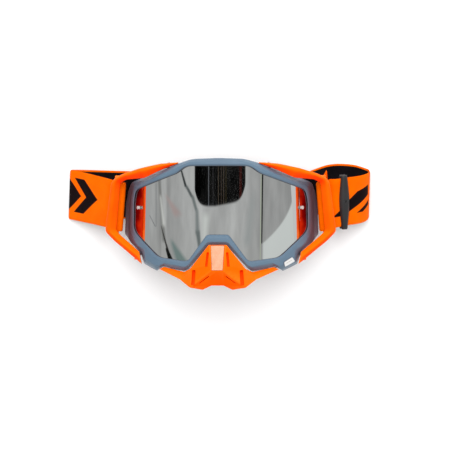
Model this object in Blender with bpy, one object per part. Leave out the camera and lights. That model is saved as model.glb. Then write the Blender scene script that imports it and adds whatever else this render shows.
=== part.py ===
"""Motorcycle goggles lying on their back, lens up, with the strap folded under them.

Run with: blender --background --python part.py

Shapes of the front are written in the goggles' own millimetres: u to the right, v to the goggles'
top and w forward, out of the lens, with the origin on the lens at its middle. The empty
"goggle_frame" tilts that frame back onto the table. The strap is written in table millimetres:
x to the right, y to the goggles' top and z up from the table.
"""

import math

import bmesh
import bpy
from mathutils import Matrix, Vector

MM = 0.001

# Placing the goggles on the table
TILT_DEG = 13.0          # the lens leans towards the goggles' top
LENS_HEIGHT = 76.0       # lens middle above the table
ORIGIN_X = 4.1           # table frame to row frame, so that the box's middle is at x = y = 0
ORIGIN_Y = 8.09
GAP = 0.3                # between pieces that touch

# Front
LENS_RADIUS = 96.0       # the lens is a cylinder about an axis along v
LENS_THICKNESS = 1.6
LENS_SINK = 1.0          # lens surface behind the ideal cylinder
LENS_EDGE = 0.22         # share of the ring's width that the lens reaches into its groove
SIDE_SLOPE = -0.7        # steepest fall of the frame's front at the temples
FRAME_DEPTH = 18.0       # lens cylinder to the frame's rear edge, in the middle
FRAME_CURL = 0.815       # share of the lens' curve that the frame's rear edge follows
FLARE = 1.0              # how far the frame's wall widens to the rear
FLARE_TEMPLE = 2.9       # and how much further at the temples
FOAM_LAYERS = (("foam_base", 3.4), ("foam_middle", 5.0), ("foam_fleece", 2.2))
FOAM_GAP = 0.4
FOAM_SEAT = 1.0          # frame to foam
FOAM_SHARES = ((0.18, 1.02), (0.19, 1.01), (0.22, 0.98), (0.27, 0.93))

# Half outlines from the top middle round to the bottom middle: (u, v, how much the corner is cut)
APERTURE = ((0, 44.2, 0), (29, 44.2, 5), (38, 37.6, 3), (79, 23.8, 4), (81.4, 14, 5), (81.6, -14, 6),
            (70, -25, 4.2), (66.3, -28.3, 0.5), (62.6, -31.6, 0.5), (55.5, -38.2, 5), (46, -39.5, 0.5),
            (27.5, -41.8, 4), (9.8, -17.5, 2.5), (0, -17.5, 0))
RIM = ((0, 51.3, 0), (24, 50.8, 5), (38, 46.3, 3), (83.5, 28.6, 4), (87.2, 13, 5), (88.8, -16, 4),
       (82.2, -26.6, 4), (73, -34.6, 1.2), (70.4, -43.2, 1.2), (57.8, -49.8, 1.5), (51, -46.4, 1.5),
       (29.5, -51, 4), (8.2, -28, 2), (0, -28, 0))
# The foam passes behind the tab without following it
FOAM_RIM = tuple((80 - 7 * k, -25 - 5.8 * k, 0.8) for k in range(1, 5))

# Outrigger stations from the tip at the brow to the end at the tab:
# (outer u, v, cut), (inner u, v, cut), front w
ARM = (((39.0, 48.5, 0), (39.4, 47.2, 0), -10.0), ((54, 47.4, 4), (54, 41.2, 4), -14.0),
       ((74, 43.2, 4), (69, 34.4, 2), -20.5), ((90, 38.6, 3), (87, 33.2, 2), -28.5),
       ((101.4, 33.2, 6), (93.4, 29.8, 3), -33.0), ((107.8, -14.8, 3), (97.6, -14.2, 2.5), -36.0),
       ((99.6, -23.4, 4), (93.2, -18.6, 3), -35.5), ((73.2, -42.8, 0), (75.2, -33.8, 0), -31.0))
ARM_THICKNESS = 5.0
HINGE_TOP = (46.0, 45.2, -18.0)
HINGE_LOW = (76.8, -36.8, -41.5)
BOSS_RADIUS = 2.5
PIN_RADIUS = 1.1
HOLE_RADIUS = 1.5
POST_TOP = (94.2, 35.3, -46.6)
POST_LOW = (98.2, -19.5, -48.0)
POST_RADIUS = 1.9

# Nose guard: named points of its right half on its front, (u, v, w)
GUARD = {
    "top_mid": (0, -26.9, 2.5), "top": (8.0, -26.9, 2.5), "panel": (5.6, -50.5, 8.0),
    "panel_mid": (0, -50.5, 8.0), "side": (25.0, -48.4, -0.6), "ridge": (25.2, -65.6, 2.5),
    "outer": (34.6, -58.2, -3.0), "foot": (13.3, -67.9, 5.0), "notch": (5.5, -63.4, 7.0),
    "notch_mid": (0, -63.4, 7.0), "root": (31.0, -51.6, -7.5), "wing": (50.2, -47.3, -17.0),
    "wing_tip": (55.0, -49.4, -19.0),
}
GUARD_FACES = (("top_mid", "top", "panel", "panel_mid"), ("top", "side", "ridge", "panel"),
               ("panel_mid", "panel", "ridge", "foot", "notch", "notch_mid"),
               ("side", "root", "outer", "ridge"), ("root", "wing", "wing_tip", "outer"))
GUARD_THICKNESS = 2.4
GUARD_DEPTH = {"panel": 6.0, "panel_mid": 6.0, "ridge": 6.0, "notch": 6.0, "notch_mid": 6.0,
               "outer": 4.0}      # thicker there, so that the slots are pockets

# Strap, in table millimetres
STRAP_WIDTH = 46.0
STRAP_THICKNESS = 1.6
STRAP_BREAK = 103.0      # |x| where a fold that moves with its outrigger ends
SLIDER_LENGTH = 51.0
SLIDER_CLEARANCE = 0.45
SLIDER_WIDTH = (3.2, 1.9)    # half width at the ends, and how much it swells in the middle
SLIDER_HEIGHT = (2.6, 0.9)
SLIDER_BACK = 1.8            # thickness of the bar behind the strap
SILICONE_PITCH = 10.0
SILICONE_THICKNESS = 0.5

# Edge lines of the strap, top edge then low edge, from the outriggers to the rear
REST = STRAP_THICKNESS / 2   # height of webbing that lies on the table
LEFT_FRONT = (((-STRAP_BREAK - 1, 23.8, 26.6), (-113, 24.8, 21.0), (-126, 26.4, 13.2), (-138, 27.6, 6.0),
               (-142.6, 27.9, 3.6)),
              ((-STRAP_BREAK - 4.4, -22.0, 32.0), (-117, -21.2, 25.4), (-129, -20.0, 16.8),
               (-141, -18.8, 8.0), (-146.0, -18.4, 4.4)))
REAR = (((-143.2, 27.9, 3.5), (-144.8, 27.9, 2.6), (-144.6, 27.9, 1.3), (-142.4, 27.9, REST),
         (-128, 27.6, REST), (-91, 26.4, REST), (-40, 25.4, REST), (10, 24.0, REST), (50, 22.0, REST),
         (70, 21.6, REST), (86, 27.0, REST), (100, 31.8, REST), (114, 33.0, REST), (128, 31.4, REST),
         (136.6, 28.6, REST + 0.3)),
        ((-146.6, -18.3, 4.3), (-148.2, -18.3, 3.2), (-148.0, -18.3, 1.6), (-145.6, -18.3, REST),
         (-131, -18.4, REST), (-94, -19.6, REST), (-43, -20.6, REST), (7, -22.0, REST), (47, -24.0, REST),
         (68, -24.2, REST), (85, -18.8, REST), (100, -14.2, REST), (115, -13.0, REST), (130, -14.8, REST),
         (136.6, -17.4, REST + 0.3)))
RIGHT_LOOP = (((STRAP_BREAK + 1, 23.4, 29.0), (116, 24.0, 24.2), (128, 24.6, 19.2), (134.6, 25.2, 14.6),
               (138.6, 26.0, 9.4), (139.9, 26.9, 5.0), (139.2, 27.8, 2.2), (137.4, 28.3, 1.3)),
              ((STRAP_BREAK + 4.4, -21.6, 30.6), (119, -21.2, 25.2), (129.4, -20.8, 20.4), (135, -20.2, 15.6),
               (138.4, -19.6, 10.0), (139.4, -18.8, 5.2), (138.8, -18.0, 2.2), (137.4, -17.6, 1.3)))

COLOURS = {
    "frame": ((0.155, 0.255, 0.37, 1), 0.5, 0.0), "orange": ((1.0, 0.19, 0.002, 1), 0.35, 0.0),
    "lens": ((0.62, 0.64, 0.63, 1), 0.06, 1.0), "webbing": ((1.0, 0.21, 0.002, 1), 0.8, 0.0),
    "foam": ((0.03, 0.03, 0.032, 1), 0.95, 0.0), "fleece": ((0.012, 0.012, 0.013, 1), 0.95, 0.0),
    "black": ((0.03, 0.03, 0.032, 1), 0.5, 0.0), "steel": ((0.55, 0.55, 0.56, 1), 0.3, 1.0),
    "peach": ((1.0, 0.54, 0.32, 1), 0.25, 0.0), "white": ((0.88, 0.88, 0.88, 1), 0.4, 0.0),
    "silicone": ((0.6, 0.6, 0.62, 1), 0.4, 0.0),
}


def clear_scene():
    for obj in list(bpy.data.objects):
        bpy.data.objects.remove(obj)


def material(name):
    found = bpy.data.materials.get(name)
    if found:
        return found
    colour, roughness, metallic = COLOURS[name]
    made = bpy.data.materials.new(name)
    made.use_nodes = True
    shader = made.node_tree.nodes["Principled BSDF"]
    shader.inputs["Base Color"].default_value = colour
    shader.inputs["Roughness"].default_value = roughness
    shader.inputs["Metallic"].default_value = metallic
    return made


def body(name, points, faces, finish, parent):
    """A mesh object from millimetre points, its faces turned outwards."""
    mesh = bpy.data.meshes.new(name)
    mesh.from_pydata([Vector(p) * MM for p in points], [], faces)
    work = bmesh.new()
    work.from_mesh(mesh)
    bmesh.ops.recalc_face_normals(work, faces=work.faces)
    if work.calc_volume(signed=True) < 0:
        bmesh.ops.reverse_faces(work, faces=work.faces)
    work.to_mesh(mesh)
    work.free()
    mesh.shade_smooth()
    mesh.set_sharp_from_angle(angle=math.radians(32))
    obj = bpy.data.objects.new(name, mesh)
    bpy.context.scene.collection.objects.link(obj)
    obj.data.materials.append(material(finish))
    obj.parent = parent
    return obj


def combine(obj, helper, operation):
    """Unites obj with a helper, or cuts the helper from it, when the part is evaluated."""
    helper.hide_render = True
    helper.display_type = "WIRE"
    step = obj.modifiers.new(helper.name, "BOOLEAN")
    step.operation = operation
    step.object = helper


def blunted(corners, steps, cuts):
    """Points along a polyline whose inner corners are cut by curves, with extra points on each run."""
    path = [Vector(c[:2]) for c in corners]
    points = [path[0]]
    for k in range(1, len(path)):
        start = points[-1]
        if k == len(path) - 1:
            end, curve = path[k], []
        else:
            cut = corners[k][2]
            end = path[k] + (path[k - 1] - path[k]).normalized() * cut
            leave = path[k] + (path[k + 1] - path[k]).normalized() * cut
            curve = [end.lerp(path[k], s / steps).lerp(path[k].lerp(leave, s / steps), s / steps)
                     for s in range(1, steps + 1)]
        points += [start.lerp(end, s / cuts[k - 1]) for s in range(1, cuts[k - 1] + 1)]
        points += curve
    return points


def outline_pair(inner, outer, steps=3, spacing=13.0):
    """Two outlines with the same number of points, closed by mirroring, as a list of pairs."""
    cuts = []
    for k in range(1, len(outer)):
        length = (Vector(outer[k][:2]) - Vector(outer[k - 1][:2])).length
        cuts.append(max(1, round(length / spacing)))
    half = list(zip(blunted(inner, steps, cuts), blunted(outer, steps, cuts)))
    mirrored = [(Vector((-a.x, a.y)), Vector((-b.x, b.y))) for a, b in reversed(half[1:-1])]
    return half + mirrored


def lens_w(u):
    return math.sqrt(LENS_RADIUS ** 2 - u * u) - LENS_RADIUS


def front_w(pair, share):
    """The frame's front before its own relief: the lens' curve, less steep beyond the groove."""
    across = abs(pair[0].lerp(pair[1], share).x)
    edge = abs(pair[0].lerp(pair[1], min(share, 0.3)).x)
    slope = max(-edge / math.sqrt(LENS_RADIUS ** 2 - edge * edge), SIDE_SLOPE)
    return lens_w(edge) + slope * (across - edge)


def rear_w(u):
    return FRAME_CURL * lens_w(min(abs(u), 84.0)) - FRAME_DEPTH


def at(pair, share, w):
    place = pair[0].lerp(pair[1], share)
    return (place.x, place.y, w)


def flat_share(pair):
    """Where the flat front ends and the outer bevel starts: further out on the wide tabs."""
    width = (pair[1] - pair[0]).length
    return 0.58 + 0.26 * min(1.0, max(0.0, (width - 9.0) / 7.0))


def frame_section(pair):
    """The frame's section at one station, from the groove round the rear to the front."""
    side = min(1.0, abs(pair[0].x) / 80.0) ** 3
    rear = rear_w(pair[1].x)
    flat = flat_share(pair)
    wall = 1 + (FLARE + FLARE_TEMPLE * side) / (pair[1] - pair[0]).length

    def on(share, height):
        return at(pair, share, front_w(pair, share) + height)

    return [on(0.0, -0.6), on(0.30, -0.6), on(0.30, -3.0), on(0.0, -3.0), on(0.0, -4.6),
            on(0.72, -5.0), at(pair, wall - 0.27, rear), at(pair, wall, rear),
            on(1.0, -2.6 - 1.4 * side), on(flat, 1.9 - 0.6 * side), on(0.22, 2.1), on(0.04, 0.9)]


def skin(points, count, i, j):
    """Triangles between sections i and j, split along the shorter diagonal so that neighbours match."""
    faces = []
    for k in range(count):
        n = (k + 1) % count
        a, b, c, d = i * count + k, i * count + n, j * count + n, j * count + k
        if math.dist(points[a], points[c]) < math.dist(points[b], points[d]):
            faces += [(a, b, c), (a, c, d)]
        else:
            faces += [(a, b, d), (b, c, d)]
    return faces


def loop_solid(name, sections, finish, parent):
    """A solid ring from equal sections all round a closed loop."""
    count = len(sections[0])
    points = [p for section in sections for p in section]
    faces = []
    for i in range(len(sections)):
        faces += skin(points, count, i, (i + 1) % len(sections))
    return body(name, points, faces, finish, parent)


def run_solid(name, sections, finish, parent):
    """A solid from equal sections along an open path, capped at both ends."""
    count = len(sections[0])
    points = [p for section in sections for p in section]
    faces = []
    for i in range(len(sections) - 1):
        faces += skin(points, count, i, i + 1)
    faces.append(tuple(range(count)))
    faces.append(tuple(range(len(points) - count, len(points))))
    return body(name, points, faces, finish, parent)


def box_solid(name, centre, size, parent, angle=0.0, finish="black"):
    """A box in goggle millimetres, turned by angle about w."""
    points = []
    turn = Matrix.Rotation(math.radians(angle), 3, "Z")
    for x in (-0.5, 0.5):
        for y in (-0.5, 0.5):
            for z in (-0.5, 0.5):
                offset = turn @ Vector((x * size[0], y * size[1], z * size[2]))
                points.append(tuple(Vector(centre) + offset))
    faces = [(0, 1, 3, 2), (4, 6, 7, 5), (0, 4, 5, 1), (2, 3, 7, 6), (0, 2, 6, 4), (1, 5, 7, 3)]
    return body(name, points, faces, finish, parent)


def rod(name, start, end, radius, finish, parent, sides=14):
    """A round bar between two points."""
    start, end = Vector(start), Vector(end)
    turn = (end - start).to_track_quat("Z", "Y")
    rings = []
    for centre in (start, end):
        ring = []
        for k in range(sides):
            angle = 2 * math.pi * k / sides
            offset = Vector((math.cos(angle), math.sin(angle), 0)) * radius
            ring.append(tuple(centre + turn @ offset))
        rings.append(ring)
    return run_solid(name, rings, finish, parent)


def front_frame(parent):
    pairs = outline_pair(APERTURE, RIM)
    frame = loop_solid("front_frame", [frame_section(p) for p in pairs], "frame", parent)
    for k, u in enumerate((-17.0, 0.0, 17.0)):
        slot = box_solid(f"cut_vent_top_{k}", (u, 52, lens_w(u) - 12), (12, 12, 5), parent)
        combine(frame, slot, "DIFFERENCE")
    for side in (-1, 1):
        slot = box_solid(f"cut_vent_low_{side}", (side * 40, -49, lens_w(40) - 12), (11, 12, 5),
                         parent, side * 11)
        combine(frame, slot, "DIFFERENCE")
        top, along = hinge_line(side)
        low = Vector(mirror(HINGE_LOW, side))
        lug = rod(f"add_lug_{side}", low - along * 9.0, low - along * 0.6, BOSS_RADIUS, "frame", parent)
        combine(frame, lug, "UNION")
        for place, start, end in (("top", top, top + along * 5.4), ("low", low - along * 7.6, low + along)):
            hole = rod(f"cut_frame_pin_{place}_{side}", start, end, HOLE_RADIUS, "frame", parent)
            combine(frame, hole, "DIFFERENCE")


def lens(parent):
    """The lens outline cut into strips along u, so that it can follow its cylinder."""
    outline = [a.lerp(b, LENS_EDGE) for a, b in outline_pair(APERTURE, RIM)]
    work = bmesh.new()
    corners = [work.verts.new((p.x, p.y, 0)) for p in outline]
    work.faces.new(corners)
    for u in range(-78, 79, 6):
        bmesh.ops.bisect_plane(work, geom=list(work.verts) + list(work.edges) + list(work.faces),
                               dist=1e-6, plane_co=(u, 0, 0), plane_no=(1, 0, 0))
    grown = bmesh.ops.extrude_face_region(work, geom=list(work.faces), use_keep_orig=True)
    back = {v for v in grown["geom"] if isinstance(v, bmesh.types.BMVert)}
    for v in work.verts:
        depth = LENS_SINK + (LENS_THICKNESS if v in back else 0.0)
        v.co.z = lens_w(v.co.x) - depth
    points = [tuple(v.co) for v in work.verts]
    work.verts.index_update()
    faces = [[v.index for v in f.verts] for f in work.faces]
    work.free()
    body("lens", points, faces, "lens", parent)


def mirror(point, side):
    return (side * point[0], point[1], point[2])


def hinge_line(side):
    """An outrigger's upper hinge point and the direction down its axis."""
    top = Vector(mirror(HINGE_TOP, side))
    return top, (Vector(mirror(HINGE_LOW, side)) - top).normalized()


def foam_rings(parent):
    """Three foam layers glued one behind the other, from the frame to the face."""
    rim = RIM[:7] + FOAM_RIM[:4] + RIM[11:]
    pairs = outline_pair(APERTURE, rim)
    start = FOAM_SEAT
    for k, (name, depth) in enumerate(FOAM_LAYERS):
        (inner, outer), (inner_rear, outer_rear) = FOAM_SHARES[k:k + 2]
        sections = []
        for pair in pairs:
            front = rear_w(pair[1].x) - start
            sections.append([at(pair, inner, front), at(pair, outer, front),
                             at(pair, outer_rear, front - depth), at(pair, inner_rear, front - depth)])
        loop_solid(name, sections, "fleece" if name == "foam_fleece" else "foam", parent)
        start += depth + FOAM_GAP


def vent_filters(parent):
    """Open-cell strips inside the walls, over the vents."""
    def strip(name, run, thickness):
        start, end = Vector(run[0]), Vector(run[1])
        out = Vector((end.y - start.y, start.x - end.x)).normalized() * thickness
        sections = []
        for k in range(7):
            place = start.lerp(end, k / 6)
            front = lens_w(place.x) - 7.0
            far = place + out
            sections.append([(place.x, place.y, front), (far.x, far.y, front),
                             (far.x, far.y, front - 9.5), (place.x, place.y, front - 9.5)])
        return run_solid(name, sections, "foam", parent)

    strip("vent_filter_top", ((-25, 48.2), (25, 48.2)), 2.0)
    strip("vent_filter_low_left", ((-32, -46.3), (-48, -43.3)), 2.0)
    strip("vent_filter_low_right", ((48, -43.3), (32, -46.3)), 2.0)


def tear_off_posts(parent):
    """Buttons that hold a tear-off film, standing square on the lens."""
    for name, side in (("left", -1), ("right", 1)):
        u = side * 75.0
        foot = Vector((u, 7.2, lens_w(u) - LENS_SINK))
        normal = Vector((u, 0, LENS_RADIUS + lens_w(u))).normalized()
        rod(f"tear_off_post_{name}", foot + normal * 0.5, foot + normal * 2.6, 1.7, "black", parent, 16)


def outrigger_sections(side):
    """Faceted sections of the arm, from its tip at the brow round to its end at the tab."""
    steps = 2
    cuts = [max(1, round((Vector(b[0][:2]) - Vector(a[0][:2])).length / 16)) for a, b in zip(ARM, ARM[1:])]
    outer = blunted([s[0] for s in ARM], steps, cuts)
    inner = blunted([s[1] for s in ARM], steps, cuts)
    depth = blunted([(k, s[2], 0.2) for k, s in enumerate(ARM)], steps, cuts)
    sections = []
    for a, b, w in zip(outer, inner, depth):
        width = (a - b).length
        lean = min(1.0, width / 5.0)
        section = []
        for share, height in ((0.0, -ARM_THICKNESS), (0.0, -1.8 * lean), (0.38, 0.0), (0.88, 0.0),
                              (1.0, -1.0 * lean), (1.0, -ARM_THICKNESS)):
            place = a.lerp(b, share)
            section.append((side * place.x, place.y, w.y + height))
        sections.append(section)
    return sections


def outrigger(name, side, parent):
    """The arm that holds a strap end off the frame, with its post and two hinge bosses."""
    arm = run_solid(f"outrigger_{name}", outrigger_sections(side), "orange", parent)
    top, along = hinge_line(side)
    low = Vector(mirror(HINGE_LOW, side))
    post = rod(f"add_post_{name}", mirror(POST_TOP, side), mirror(POST_LOW, side), POST_RADIUS,
               "orange", parent)
    combine(arm, post, "UNION")
    for place, end in (("top", POST_TOP), ("low", POST_LOW)):
        reach = Vector(mirror(end, side))
        knee = box_solid(f"add_knee_{place}_{name}", reach + Vector((side * 1.0, 0, 4.0)), (6, 3.7, 13),
                         parent, finish="orange")
        combine(arm, knee, "UNION")
    bosses = (("top", top - along * 3.6, top - along * 0.2), ("low", low, low + along * 4.6))
    for place, start, end in bosses:
        combine(arm, rod(f"add_boss_{place}_{name}", start, end, BOSS_RADIUS, "orange", parent), "UNION")
    web = box_solid(f"add_web_{name}", low + along * 2.9 + Vector((0, 0, 3.0)), (4.4, 3.6, 6.5), parent,
                    finish="orange")
    combine(arm, web, "UNION")
    for place, start, end in bosses:
        hole = rod(f"cut_pin_{place}_{name}", start - along, end + along * 3, HOLE_RADIUS, "orange", parent)
        combine(arm, hole, "DIFFERENCE")
    rod(f"hinge_pin_upper_{name}", top - along * 3.4, top + along * 4.6, PIN_RADIUS, "steel", parent)
    rod(f"hinge_pin_lower_{name}", low - along * 6.8, low + along * 4.4, PIN_RADIUS, "steel", parent)


def nose_guard(parent):
    """The faceted guard, thickened to the rear, with its slots, and its glossy centre panel."""
    names = list(GUARD)
    points = [GUARD[n] for n in names]
    depths = {GUARD[n][1]: GUARD_DEPTH.get(n, GUARD_THICKNESS) for n in names}
    faces = [[names.index(n) for n in face] for face in GUARD_FACES]
    middle = {n: k for k, n in enumerate(names) if n.endswith("_mid")}
    left = {}
    for k, n in enumerate(names):
        if n in middle:
            left[k] = k
        else:
            left[k] = len(points)
            points.append(mirror(GUARD[n], -1))
    faces += [[left[k] for k in reversed(face)] for face in faces]
    work = bmesh.new()
    verts = [work.verts.new(p) for p in points]
    for face in faces:
        work.faces.new([verts[k] for k in face])
    bmesh.ops.recalc_face_normals(work, faces=work.faces)
    grown = bmesh.ops.extrude_face_region(work, geom=list(work.faces), use_keep_orig=True)
    for v in grown["geom"]:
        if isinstance(v, bmesh.types.BMVert):
            v.co.z -= depths[min(depths, key=lambda height: abs(height - v.co.y))]
    work.verts.index_update()
    points = [tuple(v.co) for v in work.verts]
    faces = [[v.index for v in f.verts] for f in work.faces]
    work.free()
    guard = body("nose_guard", points, faces, "orange", parent)
    recess = panel_prism("cut_panel", 0.0, 2.2, parent)
    combine(guard, recess, "DIFFERENCE")
    for side in (-1, 1):
        cuts = (("upper", (side * 9.3, -40.0, 11.6), (2.2, 13, 20), side * 6.0),
                ("lower", (side * 21.8, -56.5, 8.1), (3.2, 14, 20), side * 4.0),
                ("slit", (side * 12.0, -58.2, 11.2), (11, 0.9, 20), side * -37.0))
        for place, centre, size, angle in cuts:
            combine(guard, box_solid(f"cut_{place}_{side}", centre, size, parent, angle), "DIFFERENCE")
    panel_prism("nose_guard_panel", GAP, 0.9, parent)


def panel_prism(name, inset, raise_by, parent):
    """The tapered panel at the guard's middle, or, with no inset, the recess for it."""
    slope = (GUARD["panel"][2] - GUARD["top"][2]) / (GUARD["panel"][1] - GUARD["top"][1])
    points = []
    for depth in (-1.0 + inset, raise_by):
        for half, v in ((6.3, -27.3), (5.2, -49.8)):
            v += inset if v < -40 else -inset
            w = GUARD["top"][2] + slope * (v - GUARD["top"][1]) + depth
            points += [(-half + inset, v, w), (half - inset, v, w)]
    faces = [(0, 1, 3, 2), (4, 6, 7, 5), (0, 4, 5, 1), (2, 3, 7, 6), (0, 2, 6, 4), (1, 5, 7, 3)]
    return body(name, points, faces, "peach", parent)


def tab_label(parent):
    """A blank white label on the flat of the right tab."""
    pairs = outline_pair(APERTURE, RIM)

    def nearest(corner):
        return min(pairs, key=lambda pair: (pair[1] - Vector(corner[:2])).length)

    upper, lower = nearest(RIM[8]), nearest(RIM[9])
    corners = []
    for along in (0.10, 0.86):
        for share in (0.46, 0.78):
            ends = [Vector(at(p, share, front_w(p, share) + 1.95)) for p in (upper, lower)]
            corners.append(ends[0].lerp(ends[1], along))
    points = [tuple(p + Vector((0, 0, lift))) for lift in (GAP, GAP + 0.5) for p in corners]
    faces = [(0, 1, 3, 2), (4, 6, 7, 5), (0, 4, 5, 1), (2, 3, 7, 6), (0, 2, 6, 4), (1, 5, 7, 3)]
    body("tab_label", points, faces, "white", parent)


def to_table(point):
    """Goggle millimetres to table millimetres."""
    u, v, w = point
    tilt = math.radians(TILT_DEG)
    return Vector((u, v * math.cos(tilt) + w * math.sin(tilt),
                   LENS_HEIGHT + w * math.cos(tilt) - v * math.sin(tilt)))


def smooth(knots, count):
    """Points along a Catmull-Rom curve through the knots, count on each run."""
    ends = [knots[0] * 2 - knots[1]] + list(knots) + [knots[-1] * 2 - knots[-2]]
    points = []
    for k in range(1, len(ends) - 2):
        a, b, c, d = ends[k - 1:k + 3]
        for s in range(count):
            t = s / count
            points.append(0.5 * (2 * b + (c - a) * t + (2 * a - 5 * b + 4 * c - d) * t * t
                                 + (3 * b - a - 3 * c + d) * t ** 3))
    return points + [knots[-1]]


def band(name, top, low, finish, parent, thickness=STRAP_THICKNESS):
    """Webbing between two edge lines, thickened evenly to both sides."""
    sections = []
    for k, (a, b) in enumerate(zip(top, low)):
        before, after = max(k - 1, 0), min(k + 1, len(top) - 1)
        along = (top[after] + low[after]) - (top[before] + low[before])
        offset = along.cross(a - b).normalized() * thickness / 2
        sections.append([tuple(a + offset), tuple(b + offset), tuple(b - offset), tuple(a - offset)])
    return run_solid(name, sections, finish, parent)


def fold_edges(side):
    """Edge lines of the fold round an outrigger's post, from the front layer to the return."""
    edges = []
    for v, end_front, end_back in ((31.0, (STRAP_BREAK - 1, 23.3, 27.6), (99.5, 22.0, 20.6)),
                                   (-15.0, (STRAP_BREAK + 2.4, -22.3, 33.0), (104.0, -22.0, 27.0))):
        share = (POST_TOP[1] - v) / (POST_TOP[1] - POST_LOW[1])
        centre = Vector(POST_TOP).lerp(Vector(POST_LOW), share)
        reach = POST_RADIUS + GAP + STRAP_THICKNESS / 2
        turn = []
        for k in range(9):
            angle = math.radians(78 + 204 * k / 8)
            turn.append(to_table(centre + Vector((math.cos(angle), 0, math.sin(angle))) * reach))
        line = [Vector(end_front)] + turn + [Vector(end_back)]
        edges.append([Vector((side * p.x, p.y, p.z)) for p in line])
    return edges


def straps(parent):
    for name, side in (("left", -1), ("right", 1)):
        top, low = fold_edges(side)
        band(f"strap_fold_{name}", top, low, "webbing", parent)

    lines = {
        "strap_front_left": [smooth([Vector(p) for p in edge], 3) for edge in LEFT_FRONT],
        "strap_rear": [[Vector(p) for p in edge] for edge in REAR],
        "strap_loop_right": [smooth([Vector(p) for p in edge], 2) for edge in RIGHT_LOOP],
    }
    for name, (top, low) in lines.items():
        band(name, top, low, "webbing", parent)
    for k in range(3):
        y = 11.0 - SILICONE_PITCH * k
        height = STRAP_THICKNESS + GAP + SILICONE_THICKNESS / 2
        line = [Vector((x, y - 0.025 * x, height)) for x in (-62, -20, 20, 50)]
        top = [p + Vector((0, 1.5, 0)) for p in line]
        low = [p - Vector((0, 1.5, 0)) for p in line]
        band(f"silicone_strip_{k + 1}", top, low, "silicone", parent, SILICONE_THICKNESS)


def slider_frame():
    """Middle, direction along the strap, direction across it and outward normal of the slider."""
    top_start, low_start = (Vector(edge[0]) for edge in RIGHT_LOOP)
    top_end, low_end = (Vector(edge[2]) for edge in RIGHT_LOOP)
    top = top_start.lerp(top_end, 0.44)
    low = low_start.lerp(low_end, 0.36)
    middle = (top + low) / 2
    across = (top - low).normalized()
    along = (top_end - top_start).normalized()
    along = (along - across * along.dot(across)).normalized()
    return middle, along, across, along.cross(across)


def slider(parent):
    """A spindle-shaped bar in front of the strap, closed behind it by a flat bar."""
    middle, along, across, normal = slider_frame()
    if normal.z < 0:
        normal = -normal
    half = SLIDER_LENGTH / 2
    slot = STRAP_THICKNESS / 2 + SLIDER_CLEARANCE
    sections = []
    for k in range(13):
        place = -half + SLIDER_LENGTH * k / 12
        swell = max(0.0, math.cos(place / half * math.pi / 2))
        width = SLIDER_WIDTH[0] + SLIDER_WIDTH[1] * swell ** 1.5
        height = SLIDER_HEIGHT[0] + SLIDER_HEIGHT[1] * swell
        centre = middle + across * place
        section = []
        for side, level in ((-1.0, -slot - SLIDER_BACK), (-1.0, slot + height * 0.35), (-0.55, slot + height),
                            (0.55, slot + height), (1.0, slot + height * 0.35), (1.0, -slot - SLIDER_BACK)):
            section.append(tuple(centre + along * side * width + normal * level))
        sections.append(section)
    made = run_solid("strap_slider", sections, "black", parent)
    corners = []
    for a in (-8, 8):
        for c in (-STRAP_WIDTH / 2 - 0.6, STRAP_WIDTH / 2 + 0.6):
            for n in (-slot, slot):
                corners.append(tuple(middle + along * a + across * c + normal * n))
    faces = [(0, 1, 3, 2), (4, 6, 7, 5), (0, 4, 5, 1), (2, 3, 7, 6), (0, 2, 6, 4), (1, 5, 7, 3)]
    combine(made, body("cut_slider_slot", corners, faces, "black", parent), "DIFFERENCE")


def empty(name, location, parent=None):
    made = bpy.data.objects.new(name, None)
    bpy.context.scene.collection.objects.link(made)
    made.location = Vector(location) * MM
    made.parent = parent
    return made


def main():
    clear_scene()
    table = empty("table_frame", (ORIGIN_X, ORIGIN_Y, 0))
    goggle = empty("goggle_frame", (0, 0, LENS_HEIGHT), table)
    goggle.rotation_euler.x = -math.radians(TILT_DEG)
    front_frame(goggle)
    lens(goggle)
    foam_rings(goggle)
    vent_filters(goggle)
    tear_off_posts(goggle)
    for name, side in (("left", -1), ("right", 1)):
        outrigger(name, side, goggle)
    nose_guard(goggle)
    tab_label(goggle)
    straps(table)
    slider(table)


main()
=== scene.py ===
"""Motorcycle goggles lying on their back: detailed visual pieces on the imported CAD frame.

Shapes of the front are written in the goggles' own millimetres, as in the CAD: u to the right,
v to the goggles' top and w forward. The strap is written in table millimetres. to_row and
table_to_row bring both to metres in the CAD's frame.
"""

import math
from itertools import product

import bmesh
import bpy
import numpy as np
from mathutils import Matrix, Vector, noise


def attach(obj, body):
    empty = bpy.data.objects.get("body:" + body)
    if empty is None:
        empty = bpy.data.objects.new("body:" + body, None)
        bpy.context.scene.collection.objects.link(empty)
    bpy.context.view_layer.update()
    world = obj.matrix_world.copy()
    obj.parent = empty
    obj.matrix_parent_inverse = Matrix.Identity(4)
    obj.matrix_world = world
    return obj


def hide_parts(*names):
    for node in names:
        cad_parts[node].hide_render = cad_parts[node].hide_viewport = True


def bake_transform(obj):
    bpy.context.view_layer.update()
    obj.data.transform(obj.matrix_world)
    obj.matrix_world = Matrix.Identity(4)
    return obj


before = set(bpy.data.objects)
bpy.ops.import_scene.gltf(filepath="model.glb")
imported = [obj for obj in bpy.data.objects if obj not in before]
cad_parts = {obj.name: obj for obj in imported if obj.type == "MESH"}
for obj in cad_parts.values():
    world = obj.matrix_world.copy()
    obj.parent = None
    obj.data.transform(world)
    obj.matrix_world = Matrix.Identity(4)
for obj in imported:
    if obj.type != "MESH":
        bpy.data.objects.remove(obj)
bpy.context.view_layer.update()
noise.seed_set(11)      # noise_vector's pattern would otherwise differ from run to run

MM = 0.001

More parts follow.
